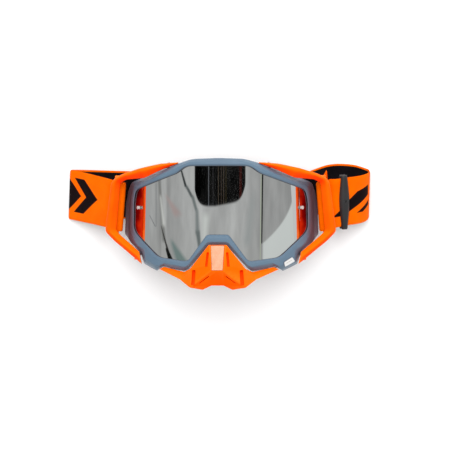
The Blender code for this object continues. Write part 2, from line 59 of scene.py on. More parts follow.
# The CAD's own values; some corners of ARM and GUARD are moved a little, for the look
TILT = math.radians(13.0)
LENS_HEIGHT = 76.0
ORIGIN_X = 4.1
ORIGIN_Y = 8.09
LENS_RADIUS = 96.0
LENS_THICKNESS = 1.6
LENS_SINK = 1.0
LENS_EDGE = 0.22
SIDE_SLOPE = -0.7
FRAME_DEPTH = 18.0
FRAME_CURL = 0.815
FLARE = 1.0
FLARE_TEMPLE = 2.9
FOAM_LAYERS = (("foam_base", 3.4), ("foam_middle", 5.0), ("foam_fleece", 2.2))
FOAM_GAP = 0.4
FOAM_SEAT = 1.0
FOAM_SHARES = ((0.18, 1.02), (0.19, 1.01), (0.22, 0.98), (0.27, 0.93))
APERTURE = ((0, 44.2, 0), (29, 44.2, 5), (38, 37.6, 3), (79, 23.8, 4), (81.4, 14, 5), (81.6, -14, 6),
            (70, -25, 4.2), (66.3, -28.3, 0.5), (62.6, -31.6, 0.5), (55.5, -38.2, 5), (46, -39.5, 0.5),
            (27.5, -41.8, 4), (9.8, -17.5, 2.5), (0, -17.5, 0))
RIM = ((0, 51.3, 0), (24, 50.8, 5), (38, 46.3, 3), (83.5, 28.6, 4), (87.2, 13, 5), (88.8, -16, 4),
       (82.2, -26.6, 4), (73, -34.6, 1.2), (70.4, -43.2, 1.2), (57.8, -49.8, 1.5), (51, -46.4, 1.5),
       (29.5, -51, 4), (8.2, -28, 2), (0, -28, 0))
FOAM_RIM = tuple((80 - 7 * k, -25 - 5.8 * k, 0.8) for k in range(1, 5))
ARM = (((36.6, 48.1, 0), (37.2, 47.0, 0), -10.0), ((54, 47.2, 4), (54, 40.9, 4), -14.0),
       ((74, 43.2, 4), (69, 34.4, 2), -20.5), ((90, 38.6, 3), (87, 33.2, 2), -28.5),
       ((101.4, 33.2, 6), (93.4, 29.8, 3), -33.0), ((107.8, -14.8, 3), (97.6, -14.2, 2.5), -36.0),
       ((99.6, -23.4, 4), (93.2, -18.6, 3), -35.5), ((72.8, -45.2, 0), (75.2, -33.8, 0), -31.0))
ARM_THICKNESS = 5.0
HINGE_TOP = (46.0, 45.2, -18.0)
HINGE_LOW = (76.8, -36.8, -41.5)
BOSS_RADIUS = 2.5
HOLE_RADIUS = 1.5
POST_TOP = (94.2, 35.3, -46.6)
POST_LOW = (98.2, -19.5, -48.0)
POST_RADIUS = 1.9
GUARD = {
    "top_mid": (0, -26.9, 2.5), "top": (8.0, -26.9, 2.5), "panel": (5.6, -50.5, 8.0),
    "panel_mid": (0, -50.5, 8.0), "side": (25.0, -48.4, -0.6), "ridge": (25.2, -65.4, 1.4),
    "outer": (34.6, -58.2, -3.6), "foot": (13.3, -67.3, 2.6), "notch": (5.5, -63.4, 3.4),
    "notch_mid": (0, -63.4, 3.4), "root": (31.0, -51.6, -7.5), "wing": (50.2, -47.3, -17.0),
    "wing_tip": (55.0, -49.4, -19.0),
}
GUARD_FACES = (("top_mid", "top", "panel", "panel_mid"), ("top", "side", "ridge", "panel"),
               ("panel_mid", "panel", "ridge", "foot", "notch", "notch_mid"),
               ("side", "root", "outer", "ridge"), ("root", "wing", "wing_tip", "outer"))
GUARD_THICKNESS = 2.4
GUARD_DEPTH = {"panel": 6.0, "panel_mid": 6.0, "ridge": 6.0, "notch": 6.0, "notch_mid": 6.0,
               "outer": 4.0}      # thicker there, so that the slots are pockets
GAP = 0.3
STRAP_WIDTH = 46.0
STRAP_THICKNESS = 1.6
STRAP_BREAK = 103.0
SLIDER_LENGTH = 51.0
SLIDER_CLEARANCE = 0.45


# ---------------------------------------------------------------- places

def to_table(point):
    """Goggle millimetres to table millimetres."""
    u, v, w = point
    return (u, v * math.cos(TILT) + w * math.sin(TILT),
            LENS_HEIGHT + w * math.cos(TILT) - v * math.sin(TILT))


def table_to_row(point):
    """Table millimetres to metres in the CAD's frame."""
    return Vector((point[0] + ORIGIN_X, point[1] + ORIGIN_Y, point[2])) * MM


def to_row(point):
    """Goggle millimetres to metres in the CAD's frame."""
    return table_to_row(to_table(point))


def mirrored(point, side):
    return (side * point[0], point[1], point[2])


# ---------------------------------------------------------------- materials

class Value:
    """A number or colour that a node tree works out. Arithmetic on it adds math nodes."""

    def __init__(self, tree, socket):
        self.tree, self.socket = tree, socket

    def math(self, operation, *values):
        return calc(self.tree, operation, self, *values)

    def __add__(self, other):
        return self.math("ADD", other)

    def __sub__(self, other):
        return self.math("SUBTRACT", other)

    def __rsub__(self, other):
        return calc(self.tree, "SUBTRACT", other, self)

    def __mul__(self, other):
        return self.math("MULTIPLY", other)

    def __truediv__(self, other):
        return self.math("DIVIDE", other)

    def __abs__(self):
        return self.math("ABSOLUTE")

    def clamped(self, low=0.0, high=1.0):
        return self.math("MAXIMUM", low).math("MINIMUM", high)


def connect(tree, socket, value):
    """Gives a node's input a number, a colour or what another node works out."""
    if isinstance(value, Value):
        tree.links.new(value.socket, socket)
    else:
        socket.default_value = (*value, 1) if isinstance(value, tuple) else value


def calc(tree, operation, *values):
    node = tree.nodes.new("ShaderNodeMath")
    node.operation = operation
    for socket, value in zip(node.inputs, values):
        connect(tree, socket, value)
    return Value(tree, node.outputs[0])


class Look:
    """A material in the making. Spaces in the names of inputs are written as _."""

    def __init__(self, name, glowing=False, **inputs):
        self.material = bpy.data.materials.new(name)
        self.material.use_nodes = True
        self.tree = self.material.node_tree
        if glowing:
            self.tree.nodes.clear()
            output, self.shader = self.node("OutputMaterial"), self.node("Emission")
            self.tree.links.new(self.shader.outputs[0], output.inputs[0])
        else:
            self.shader = self.tree.nodes["Principled BSDF"]
        self.set(**inputs)

    def set(self, **inputs):
        for name, value in inputs.items():
            connect(self.tree, self.shader.inputs[name.replace("_", " ")], value)

    def node(self, kind, **inputs):
        node = self.tree.nodes.new("ShaderNode" + kind)
        for name, value in inputs.items():
            connect(self.tree, node.inputs[name.replace("_", " ")], value)
        return node

    def found(self, kind, output, **inputs):
        """What a new node works out."""
        return Value(self.tree, self.node(kind, **inputs).outputs[output])

    def place(self):
        return self.found("TexCoord", "Object")

    def attribute(self, name):
        node = self.node("Attribute")
        node.attribute_name = name
        return Value(self.tree, node.outputs["Vector"])

    def split(self, vector):
        node = self.node("SeparateXYZ", Vector=vector)
        return [Value(self.tree, socket) for socket in node.outputs]

    def noise(self, vector, scale, detail):
        spot = self.found("Mapping", 0, Vector=vector, Scale=scale)
        return self.found("TexNoise", "Fac", Vector=spot, Scale=1.0, Detail=detail)

    def grain(self, size_mm, detail=3.0, stretch=(1, 1, 1)):
        """Noise whose features are about size_mm wide."""
        return self.noise(self.place(), [1.0 / (size_mm * MM * s) for s in stretch], detail)

    def cells(self, size_mm, feature="F1"):
        node = self.node("TexVoronoi", Vector=self.place(), Scale=1.0 / (size_mm * MM))
        node.feature = feature
        return Value(self.tree, node.outputs["Distance"])

    def ramp(self, value, stops, ease="LINEAR"):
        """A colour ramp from (position, grey or colour) stops."""
        node = self.node("ValToRGB", Fac=value)
        node.color_ramp.interpolation = ease
        elements = node.color_ramp.elements
        while len(elements) > 1:
            elements.remove(elements[-1])
        for k, (position, colour) in enumerate(stops):
            element = elements[0] if k == 0 else elements.new(position)
            element.position = position
            element.color = (*colour, 1) if isinstance(colour, tuple) else (colour, colour, colour, 1)
        return Value(self.tree, node.outputs[0])

    def mix(self, share, a, b, blend="MIX"):
        node = self.node("Mix")
        node.data_type = "RGBA"
        node.blend_type = blend
        for slot, value in ((0, share), (6, a), (7, b)):
            connect(self.tree, node.inputs[slot], value)
        return Value(self.tree, node.outputs[2])

    def drift(self, noise_value, a, b, low=0.3, high=0.7):
        """Soft patches of two colours."""
        return self.mix(self.ramp(noise_value, ((low, 0.0), (high, 1.0))), a, b)

    def bump(self, height, depth_mm):
        self.set(Normal=self.found("Bump", 0, Strength=1.0, Distance=depth_mm * MM, Height=height))


def wear_and_highlight_edges(look, colour, edge_wear_and_highlight):
    """colour, paler on sharp outer edges: partly wear where handling rubs a moulding, partly a painted
    highlight.
    """
    edges = look.ramp(look.found("NewGeometry", "Pointiness"), ((0.515, 0.0), (0.575, 1.0)))
    return look.mix(edges * look.grain(2.5, 4.0), colour, edge_wear_and_highlight)


SKY_REACH_MM = 25         # how far a recess looks for what shades it, for its painted shade
TEMPLE_START_MM = 80.0    # from the middle to where the painted shade of the ends starts
TEMPLE_WIDTH_MM = 6.0


def moulded(name, colour, second, edge_wear_and_highlight, roughness, texture_mm, depth_mm, specular,
            recess_shade=None, temple_shade=None, sheen_tint=None, painted_side_light=None):
    """Moulded plastic: soft colour drift, fine mould grain, uneven gloss and pale edges, partly rubbed and
    partly a painted highlight.

    The colour in recesses is painted shade with a glow of light bounced from nearby parts, the one at the
    goggles' two ends painted shade with a reddish reflected glow, and the two on what faces their bottom
    and their top painted shade and painted light.
    """
    look = Look(name, Specular_IOR_Level=specular)
    base = look.drift(look.grain(22.0, 2.0), colour, second, 0.35, 0.68)
    # painted shade: darker and redder towards the goggles' two ends, for shadow and reflected orange light
    if temple_shade:
        out = abs(look.split(look.place())[0] - ORIGIN_X * MM)
        out = (out * (1 / MM / TEMPLE_WIDTH_MM) - TEMPLE_START_MM / TEMPLE_WIDTH_MM).clamped(0.0, 0.85)
        base = look.mix(out, base, temple_shade)
    # painted shade: occluded recesses turn darker and redder, for shade and light bounced between the parts
    if recess_shade:
        sky = look.node("AmbientOcclusion", Distance=SKY_REACH_MM * MM)
        sky.samples = 8
        shaded = look.ramp(Value(look.tree, sky.outputs["AO"]), ((0.25, 1.0), (0.92, 0.0)))
        base = look.mix(shaded, base, recess_shade)
    # painted light and shade: deeper on what faces the goggles' bottom, paler on what faces their top, as
    # the key light falls
    if painted_side_light:
        up = look.split(look.found("NewGeometry", "Normal"))[1]
        base = look.mix((up * -1.6).clamped(), base, painted_side_light[0])
        base = look.mix((up * 1.3).clamped(0.0, 0.8), base, painted_side_light[1])
    look.set(Base_Color=wear_and_highlight_edges(look, base, edge_wear_and_highlight),
             Roughness=look.grain(6.0, 4.0) * 0.16 + (roughness - 0.08))
    if sheen_tint:
        look.set(Specular_Tint=sheen_tint)
    look.bump(look.grain(texture_mm, 4.0), depth_mm)
    return look.material


def lens_material():
    """Silver flash coating: a mirror with faint bands, wipe marks and dust."""
    look = Look("lens_mirror", Metallic=1.0)
    bands = look.grain(30.0, 1.0, (1.0, 4.0, 4.0))
    look.set(Base_Color=look.drift(bands, (0.60, 0.615, 0.605), (0.66, 0.675, 0.665)))
    dust = look.ramp(look.cells(3.1), ((0.0, 0.10), (0.05, 0.0)))
    look.set(Roughness=dust + look.grain(9.0, 5.0, (1.0, 5.0, 1.0)) * 0.035 + 0.012)
    return look.material


def smoke_material():
    look = Look("lens_back_smoke", Coat_Weight=0.5)
    look.set(Roughness=look.grain(7.0, 5.0) * 0.08 + 0.05,
             Base_Color=look.mix(look.grain(25.0, 1.0), (0.04, 0.046, 0.056), (0.056, 0.058, 0.06)))
    return look.material


CORD_MM = 1.15
PICK_MM = 0.9


def weave_height(along_mm, across_mm):
    """Elastic webbing: lengthwise cords crossed by finer picks, each cord passing over and under."""
    cord = (across_mm * (2 * math.pi / CORD_MM)).math("SINE")
    shift = (across_mm / CORD_MM).math("FLOOR") * math.pi
    pick = (along_mm * (2 * math.pi / PICK_MM) + shift).math("SINE")
    return pick * 0.28 + cord * 0.45


PRINT_EDGE_MM = 0.35


def inside_polygon(along, across, corners):
    """1 inside a convex polygon of (along, across) millimetres given anticlockwise, 0 outside."""
    nearest = None
    for (x0, y0), (x1, y1) in zip(corners, corners[1:] + corners[:1]):
        length = math.hypot(x1 - x0, y1 - y0)
        a, b = -(y1 - y0) / length, (x1 - x0) / length
        side = along * a + (across * b - (a * x0 + b * y0))
        nearest = side if nearest is None else nearest.math("MINIMUM", side)
    return (nearest / PRINT_EDGE_MM).clamped()


def webbing(name, colour, second, prints=()):
    """Woven elastic, with plain dark shapes printed where prints says."""
    look = Look(name, Sheen_Weight=0.03, Sheen_Roughness=0.4, Specular_IOR_Level=0.08,
                Specular_Tint=colour, Sheen_Tint=colour)
    along, across = [part * (1 / MM) for part in look.split(look.attribute("cloth"))[:2]]
    fuzz = look.grain(0.5, 4.0)
    height = weave_height(along, across)
    base = look.drift(look.grain(14.0, 3.0), colour, second)
    # painted shade: the weave's low places are darker
    base = look.mix(1.0, base, look.ramp(height, ((0.0, 0.80), (0.35, 1.0))), "MULTIPLY")
    ink = None
    for corners in prints:
        shape = inside_polygon(fuzz * 0.5 + along, look.grain(0.7, 2.0) * 0.5 + across, corners)
        ink = shape if ink is None else ink.math("MAXIMUM", shape)
    if ink:
        base = look.mix(ink, base, (0.004, 0.004, 0.005))
    look.set(Base_Color=base, Roughness=fuzz * 0.2 + 0.62)
    look.bump(fuzz * 0.35 + height, 0.16)
    return look.material


def foam_material(name, colour, cell_mm, depth_mm):
    look = Look(name, Roughness=0.95, Specular_IOR_Level=0.15)
    walls = look.ramp(look.cells(cell_mm, "SMOOTH_F1"), ((0.12, 0.25), (0.55, 1.0)))
    drift = look.mix(look.grain(9.0, 3.0), colour, tuple(1.7 * c for c in colour))
    # painted shade: darker in the cells' hollows
    look.set(Base_Color=look.mix(1.0, drift, walls, "MULTIPLY"))
    look.bump(walls + look.grain(cell_mm * 2.2, 4.0), depth_mm)
    return look.material


def fleece_material():
    look = Look("fleece_pile", Roughness=0.95, Sheen_Weight=0.5, Sheen_Roughness=0.5)
    clumps = look.grain(3.5, 3.0)
    look.set(Base_Color=look.drift(clumps, (0.010, 0.010, 0.011), (0.028, 0.028, 0.03)))
    look.bump(look.grain(0.6, 6.0, (1.0, 1.0, 2.5)) + clumps * 0.8, 0.35)
    return look.material


def steel_material():
    look = Look("drawn_steel", Base_Color=(0.55, 0.55, 0.56), Metallic=1.0)
    lines = look.grain(0.25, 3.0, (1.0, 14.0, 1.0))
    look.set(Roughness=lines * 0.25 + 0.18)
    look.bump(lines, 0.02)
    return look.material


def label_material():
    """Glossy white film with a plain pale brown line."""
    look = Look("label_film", Roughness=0.3, Coat_Weight=0.4)
    x, y, _ = look.split(look.attribute("label"))
    line = y.math("COMPARE", 0.47, 0.035) * x.math("COMPARE", 0.5, 0.3)
    paper = look.mix(look.grain(1.5, 3.0), (0.57, 0.57, 0.57), (0.62, 0.62, 0.61))
    look.set(Base_Color=look.mix(line, paper, (0.30, 0.24, 0.19)))
    look.bump(look.grain(0.8, 2.0), 0.02)
    return look.material


def peach_material():
    look = Look("peach_insert", Coat_Weight=0.5)
    look.set(Base_Color=look.drift(look.grain(5.0, 3.0), (0.61, 0.26, 0.125), (0.66, 0.33, 0.185)),
             Roughness=look.grain(0.9, 3.0) * 0.2 + 0.15)
    look.bump(look.grain(0.6, 3.0), 0.05)
    return look.material


def silicone_material():
    look = Look("silicone_clear", Roughness=0.35, Transmission_Weight=0.25)
    look.set(Base_Color=look.mix(look.grain(4.0, 3.0), (0.45, 0.45, 0.48), (0.66, 0.66, 0.68)))
    look.bump(look.grain(0.8, 3.0), 0.05)
    return look.material


# Plain dark shapes on the strap, as (along, across) corners in millimetres, anticlockwise
LEFT_PRINTS = (((42, 1.5), (60, -15), (73, -15), (57, 1.5)), ((42, 0.5), (57, 0.5), (73, 17), (60, 17)),
               ((63, 1.5), (80, -15), (96, -15), (79, 1.5)), ((63, 0.5), (79, 0.5), (96, 17), (80, 17)))
RIGHT_PRINTS = (((30, -13), (42, -13), (71, 3), (71, 13), (57, 9)),
                ((55, -12), (63, -12), (72, -7), (72, -2)))

# The frame's last two colours are painted shade: purple-brown in recesses and reddish brown at the two
# ends, with reflected orange light.
FRAME_GREY = moulded("frame_satin", (0.092, 0.146, 0.205), (0.100, 0.160, 0.222), (0.17, 0.24, 0.31),
                     0.42, 0.35, 0.018, 0.30, (0.110, 0.070, 0.085), (0.150, 0.066, 0.075))
ORANGE_SHEEN = (1.0, 0.55, 0.12)
# Its deep red is painted shade and bounced light in recesses; its facing pair is painted shade on what
# faces the bottom and painted light on what faces the top.
ORANGE = moulded("orange_gloss", (0.98, 0.066, 0.0), (1.0, 0.088, 0.0), (1.0, 0.30, 0.03),
                 0.32, 0.5, 0.010, 0.16, (0.80, 0.008, 0.0), sheen_tint=ORANGE_SHEEN,
                 painted_side_light=((0.96, 0.040, 0.0), (1.0, 0.150, 0.0)))
# Painted shade: a darker red for the walls of the guard's slots, where shade falls in the pockets.
ORANGE_POCKET_SHADE = moulded("orange_pocket_shade", (0.60, 0.006, 0.0), (0.45, 0.004, 0.001), (0.9, 0.03, 0.0),
                      0.45, 0.5, 0.010, 0.15, sheen_tint=ORANGE_SHEEN)
BLACK = moulded("black_satin", (0.014, 0.013, 0.014), (0.020, 0.019, 0.020), (0.07, 0.07, 0.072),
                0.40, 0.4, 0.03, 0.35)
LENS = lens_material()
SMOKE = smoke_material()
ORANGE_CLOTH = (1.0, 0.130, 0.0)
ORANGE_CLOTH_2 = (1.0, 0.160, 0.0)
STRAP_LEFT = webbing("webbing_orange_left", ORANGE_CLOTH, ORANGE_CLOTH_2, LEFT_PRINTS)
STRAP_RIGHT = webbing("webbing_orange_right", ORANGE_CLOTH, ORANGE_CLOTH_2, RIGHT_PRINTS)
STRAP_INSIDE = webbing("webbing_black", (0.006, 0.005, 0.006), (0.012, 0.010, 0.012))
STRAP_TAIL = webbing("webbing_orange_plain", (0.95, 0.09, 0.0), (1.0, 0.12, 0.0))
THREAD = webbing("thread_orange", (1.0, 0.18, 0.01), (1.0, 0.22, 0.015))
FOAM_DARK = foam_material("foam_open_cell", (0.030, 0.030, 0.033), 0.9, 0.3)
FOAM_SOFT = foam_material("foam_fine_cell", (0.045, 0.046, 0.050), 0.65, 0.22)
FLEECE = fleece_material()
STEEL = steel_material()
LABEL = label_material()
PEACH = peach_material()
SILICONE = silicone_material()


# ---------------------------------------------------------------- mesh tools

def in_scene(name, data):
    obj = bpy.data.objects.new(name, data)
    bpy.context.scene.collection.objects.link(obj)
    return obj


def smoothed(mesh, angle=38.0):
    mesh.shade_smooth()
    mesh.set_sharp_from_angle(angle=math.radians(angle))


def add_marks(mesh, name, values):
    """A vector on each point, which a material reads by name."""
    layer = mesh.attributes.new(name, "FLOAT_VECTOR", "POINT")
    layer.data.foreach_set("vector", [c for value in values for c in value])


def piece(name, points, faces, materials, indices=None, angle=38.0, fields=None):
    """A smooth-shaded object from row-frame points, its faces turned outwards."""
    mesh = bpy.data.meshes.new(name)
    mesh.from_pydata([tuple(p) for p in points], [], faces)
    if indices:
        mesh.polygons.foreach_set("material_index", indices)
    work = bmesh.new()
    work.from_mesh(mesh)
    bmesh.ops.recalc_face_normals(work, faces=work.faces)
    if work.calc_volume(signed=True) < 0:
        bmesh.ops.reverse_faces(work, faces=work.faces)
    work.to_mesh(mesh)
    work.free()
    for key, values in (fields or {}).items():
        add_marks(mesh, key, values)
    smoothed(mesh, angle)
    for m in materials:
        mesh.materials.append(m)
    return in_scene(name, mesh)


def baked(obj, angle=38.0):
    """Applies obj's modifiers."""
    graph = bpy.context.evaluated_depsgraph_get()
    mesh = bpy.data.meshes.new_from_object(obj.evaluated_get(graph), depsgraph=graph)
    old = obj.data
    obj.modifiers.clear()
    obj.data = mesh
    mesh.name = obj.name
    bpy.data.meshes.remove(old)
    smoothed(mesh, angle)
    return obj


def cut(obj, cutters, angle=38.0):
    """Cuts each cutter from obj, then removes the cutters. The cut faces take the cutter's material."""
    for cutter in cutters:
        step = obj.modifiers.new(cutter.name, "BOOLEAN")
        step.operation = "DIFFERENCE"
        step.solver = "MANIFOLD"
        step.object = cutter
    baked(obj, angle)
    for cutter in cutters:
        bpy.data.objects.remove(cutter)


def joined(name, objects):
    """One object of several closed bodies."""
    work = bmesh.new()
    materials = []
    for obj in objects:
        start = len(work.faces)
        work.from_mesh(obj.data)
        work.faces.ensure_lookup_table()
        for slot in obj.data.materials:
            if slot not in materials:
                materials.append(slot)
        numbers = [materials.index(slot) for slot in obj.data.materials]
        for face in work.faces[start:]:
            face.material_index = numbers[face.material_index]
    mesh = bpy.data.meshes.new(name)
    work.to_mesh(mesh)
    work.free()
    for obj in objects:
        bpy.data.objects.remove(obj)
    for m in materials:
        mesh.materials.append(m)
    smoothed(mesh)
    return in_scene(name, mesh)


def bevelled(obj, width_mm, segments=3, angle=25.0):
    step = obj.modifiers.new("bevel", "BEVEL")
    step.width = width_mm * MM
    step.segments = segments
    step.limit_method = "ANGLE"
    step.angle_limit = math.radians(angle)
    return baked(obj)


def blunted(corners, steps, cuts):
    """Points along a polyline whose inner corners are cut by curves, with extra points on each run."""
    path = [Vector(c[:2]) for c in corners]
    points = [path[0]]
    for k in range(1, len(path)):
        start = points[-1]
        if k == len(path) - 1:
            end, curve = path[k], []
        else:
            share = corners[k][2]
            end = path[k] + (path[k - 1] - path[k]).normalized() * share
            leave = path[k] + (path[k + 1] - path[k]).normalized() * share
            curve = [end.lerp(path[k], s / steps).lerp(path[k].lerp(leave, s / steps), s / steps)
                     for s in range(1, steps + 1)]
        points += [start.lerp(end, s / cuts[k - 1]) for s in range(1, cuts[k - 1] + 1)]
        points += curve
    return points


def outline_pair(inner, outer, steps=8, spacing=3.0):
    """Matching points round two outlines whose right halves are given, from top to bottom."""
    cuts = []
    for k in range(1, len(outer)):
        length = (Vector(outer[k][:2]) - Vector(outer[k - 1][:2])).length
        cuts.append(max(1, round(length / spacing)))
    half = list(zip(blunted(inner, steps, cuts), blunted(outer, steps, cuts)))
    other = [(Vector((-a.x, a.y)), Vector((-b.x, b.y))) for a, b in reversed(half[1:-1])]
    return half + other


def rounded(corners, cuts, steps=3):
    """A closed polygon of 3-D corners with each corner replaced by a curve, cut back by its value."""
    points = []
    count = len(corners)
    for k, (corner, back) in enumerate(zip(corners, cuts)):
        corner = Vector(corner)
        before, after = Vector(corners[k - 1]), Vector(corners[(k + 1) % count])
        first = min(back, 0.45 * (before - corner).length)
        last = min(back, 0.45 * (after - corner).length)
        a = corner + (before - corner).normalized() * first
        b = corner + (after - corner).normalized() * last
        for s in range(steps + 1):
            t = s / steps
            points.append(a.lerp(corner, t).lerp(corner.lerp(b, t), t))
    return points


def ring_faces(stations, count, closed):
    """Quads between stations of count points each, and two end caps unless closed."""
    faces = []
    for i in range(stations if closed else stations - 1):
        j = (i + 1) % stations
        for k in range(count):
            n = (k + 1) % count
            faces.append((i * count + k, i * count + n, j * count + n, j * count + k))
    if not closed:
        faces.append(tuple(range(count)))
        faces.append(tuple(range((stations - 1) * count, stations * count)))
    return faces


def circle(count):
    """(cosine, sine) at even steps round a circle."""
    angles = [2 * math.pi * k / count for k in range(count)]
    return [(math.cos(angle), math.sin(angle)) for angle in angles]


def grid_faces(lines, length, start=0):
    """Quads between lines + 1 rows of length + 1 points."""
    corners = [start + i * (length + 1) + j for i in range(lines) for j in range(length)]
    return [(k, k + 1, k + length + 2, k + length + 1) for k in corners]


def swept(name, sections, closed, materials, angle=38.0):
    """Sections of row-frame points, skinned into one piece."""
    points = [p for section in sections for p in section]
    return piece(name, points, ring_faces(len(sections), len(sections[0]), closed), materials, angle=angle)


def turned(name, foot, axis, profile, material, sides):
    """A round piece on an axis in goggle millimetres. profile: (distance along, radius)."""
    turn = axis.to_track_quat("Z", "Y")
    sections = [[to_row(foot + turn @ Vector((x * r, y * r, along))) for x, y in circle(sides)]
                for along, r in profile]
    return swept(name, sections, False, [material])


def rod(name, start, end, radius, material, sides=32, round_mm=0.4):
    """A round bar between two goggle points, its ends dished by round_mm."""
    start, end = Vector(start), Vector(end)
    length = (end - start).length
    insets = [round_mm * (1 - math.sin(math.pi / 2 * step / 4)) for step in range(5)]
    rings = [(inset, radius - inset) for inset in insets]
    rings += [(length - inset, radius - inset) for inset in reversed(insets)]
    return turned(name, start, (end - start).normalized(), rings, material, sides)


# For eight corners in the order of product(), the last axis fastest
BOX_FACES = [(0, 1, 3, 2), (4, 6, 7, 5), (0, 4, 5, 1), (2, 3, 7, 6), (0, 2, 6, 4), (1, 5, 7, 3)]


def block(name, centre, size, material, angle=0.0, round_mm=0.5):
    """A box in goggle millimetres turned about w, with rounded edges."""
    turn = Matrix.Rotation(math.radians(angle), 3, "Z")
    points = []
    for x, y, z in product((-0.5, 0.5), repeat=3):
        points.append(to_row(Vector(centre) + turn @ Vector((x * size[0], y * size[1], z * size[2]))))
    return bevelled(piece(name, points, BOX_FACES, [material]), round_mm)


# ---------------------------------------------------------------- front

def lens_w(u):
    return math.sqrt(LENS_RADIUS ** 2 - u * u) - LENS_RADIUS


def front_w(pair, share):
    """The front's level at a share of the way from APERTURE to RIM: the lens's curve, then a slope."""
    across = abs(pair[0].lerp(pair[1], share).x)
    edge = abs(pair[0].lerp(pair[1], min(share, 0.3)).x)
    slope = max(-edge / math.sqrt(LENS_RADIUS ** 2 - edge * edge), SIDE_SLOPE)
    return lens_w(edge) + slope * (across - edge)


def rear_w(u):
    """The frame's rear edge curls less than its front."""
    return FRAME_CURL * lens_w(min(abs(u), 84.0)) - FRAME_DEPTH


def at(pair, share, w):
    spot = pair[0].lerp(pair[1], share)
    return Vector((spot.x, spot.y, w))


def flat_share(pair):
    """How much of the frame's width is its flat front: more where it is wide."""
    width = (pair[1] - pair[0]).length
    return 0.58 + 0.26 * min(1.0, max(0.0, (width - 9.0) / 7.0))


def hinge_line(side):
    """(top, direction towards the low end)"""
    top = Vector(mirrored(HINGE_TOP, side))
    return top, (Vector(mirrored(HINGE_LOW, side)) - top).normalized()


def frame_section(pair):
    side = min(1.0, abs(pair[0].x) / 80.0) ** 3
    rear = rear_w(pair[1].x)
    flat = flat_share(pair)
    wall = 1 + (FLARE + FLARE_TEMPLE * side) / (pair[1] - pair[0]).length

    def on(share, height):
        return at(pair, share, front_w(pair, share) + height)

    corners = [on(0.0, -0.6), on(0.30, -0.6), on(0.30, -3.0), on(0.0, -3.0), on(0.0, -4.6),
               on(0.72, -5.0), at(pair, wall - 0.27, rear), at(pair, wall, rear),
               on(1.0, -2.6 - 1.4 * side), on(flat, 1.9 - 0.6 * side), on(0.22, 2.1), on(0.04, 0.9)]
    cuts = [0.15, 0.15, 0.15, 0.2, 0.8, 1.6, 0.7, 0.7, 0.9, 0.6, 0.45, 0.4]
    return rounded(corners, cuts, 3)


def front_frame():
    sections = [[to_row(p) for p in frame_section(pair)] for pair in outline_pair(APERTURE, RIM)]
    shell = swept("frame_shell", sections, True, [FRAME_GREY])
    cutters = []
    for k, u in enumerate((-17.0, 0.0, 17.0)):
        cutters.append(block(f"vent_{k}", (u, 52, lens_w(u) - 12), (12, 12, 5), FRAME_GREY, 0, 1.2))
    for side in (-1, 1):
        cutters.append(block(f"vent_low_{side}", (side * 40, -49, lens_w(40) - 12), (11, 12, 5),
                             FRAME_GREY, side * 11, 1.2))
        top, along = hinge_line(side)
        cutters.append(rod(f"hole_{side}", top, top + along * 5.4, HOLE_RADIUS, FRAME_GREY, 24, 0.1))
    cut(shell, cutters)
    parts = [shell]
    for side in (-1, 1):
        top, along = hinge_line(side)
        low = Vector(mirrored(HINGE_LOW, side))
        parts.append(rod(f"lug_{side}", low - along * 9.0, low - along * 0.6, BOSS_RADIUS, FRAME_GREY))
    made = joined("frame_moulding", parts)
    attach(made, "goggles")
    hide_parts("front_frame")


def lens():
    outline = [a.lerp(b, LENS_EDGE) for a, b in outline_pair(APERTURE, RIM)]
    work = bmesh.new()
    corners = [work.verts.new((p.x, p.y, 0)) for p in outline]
    work.faces.new(corners)
    for u in range(-80, 81, 2):
        bmesh.ops.bisect_plane(work, geom=list(work.verts) + list(work.edges) + list(work.faces),
                               dist=1e-6, plane_co=(u, 0, 0), plane_no=(1, 0, 0))
    grown = bmesh.ops.extrude_face_region(work, geom=list(work.faces), use_keep_orig=True)
    back = {v for v in grown["geom"] if isinstance(v, bmesh.types.BMVert)}
    levels = []
    for v in work.verts:
        depth = LENS_SINK + (LENS_THICKNESS if v in back else 0.0)
        v.co.z = lens_w(v.co.x) - depth
        levels.append(v in back)
    work.verts.index_update()
    points = [to_row(v.co) for v in work.verts]
    faces = [[v.index for v in f.verts] for f in work.faces]
    indices = [1 if all(levels[k] for k in face) else 0 for face in faces]
    work.free()
    made = piece("lens_shield", points, faces, [LENS, SMOKE], indices, 50.0)
    normals = []
    for loop in made.data.loops:
        spot = points[loop.vertex_index]
        u = spot.x / MM - ORIGIN_X
        out = to_row((u, 0, LENS_RADIUS + lens_w(u))) - to_row((0, 0, 0))
        face_back = levels[loop.vertex_index]
        normals.append((-out if face_back else out).normalized())
    rim = {k for f in made.data.polygons if not (all(levels[v] for v in f.vertices)
                                                 or not any(levels[v] for v in f.vertices))
           for k in f.loop_indices}
    plain = [c.vector.copy() for c in made.data.corner_normals]
    made.data.normals_split_custom_set([plain[k] if k in rim else n for k, n in enumerate(normals)])
    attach(made, "goggles")
    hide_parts("lens")


FOAM_ROWS = 5             # front to rear
FOAM_COLUMNS = 6          # from the eyes' side outwards


def wobble(p):
    """What soft foam is off its cut shape by."""
    return noise.noise_vector(p / 7.0) * 0.16 + noise.noise_vector(p / 2.2) * 0.07


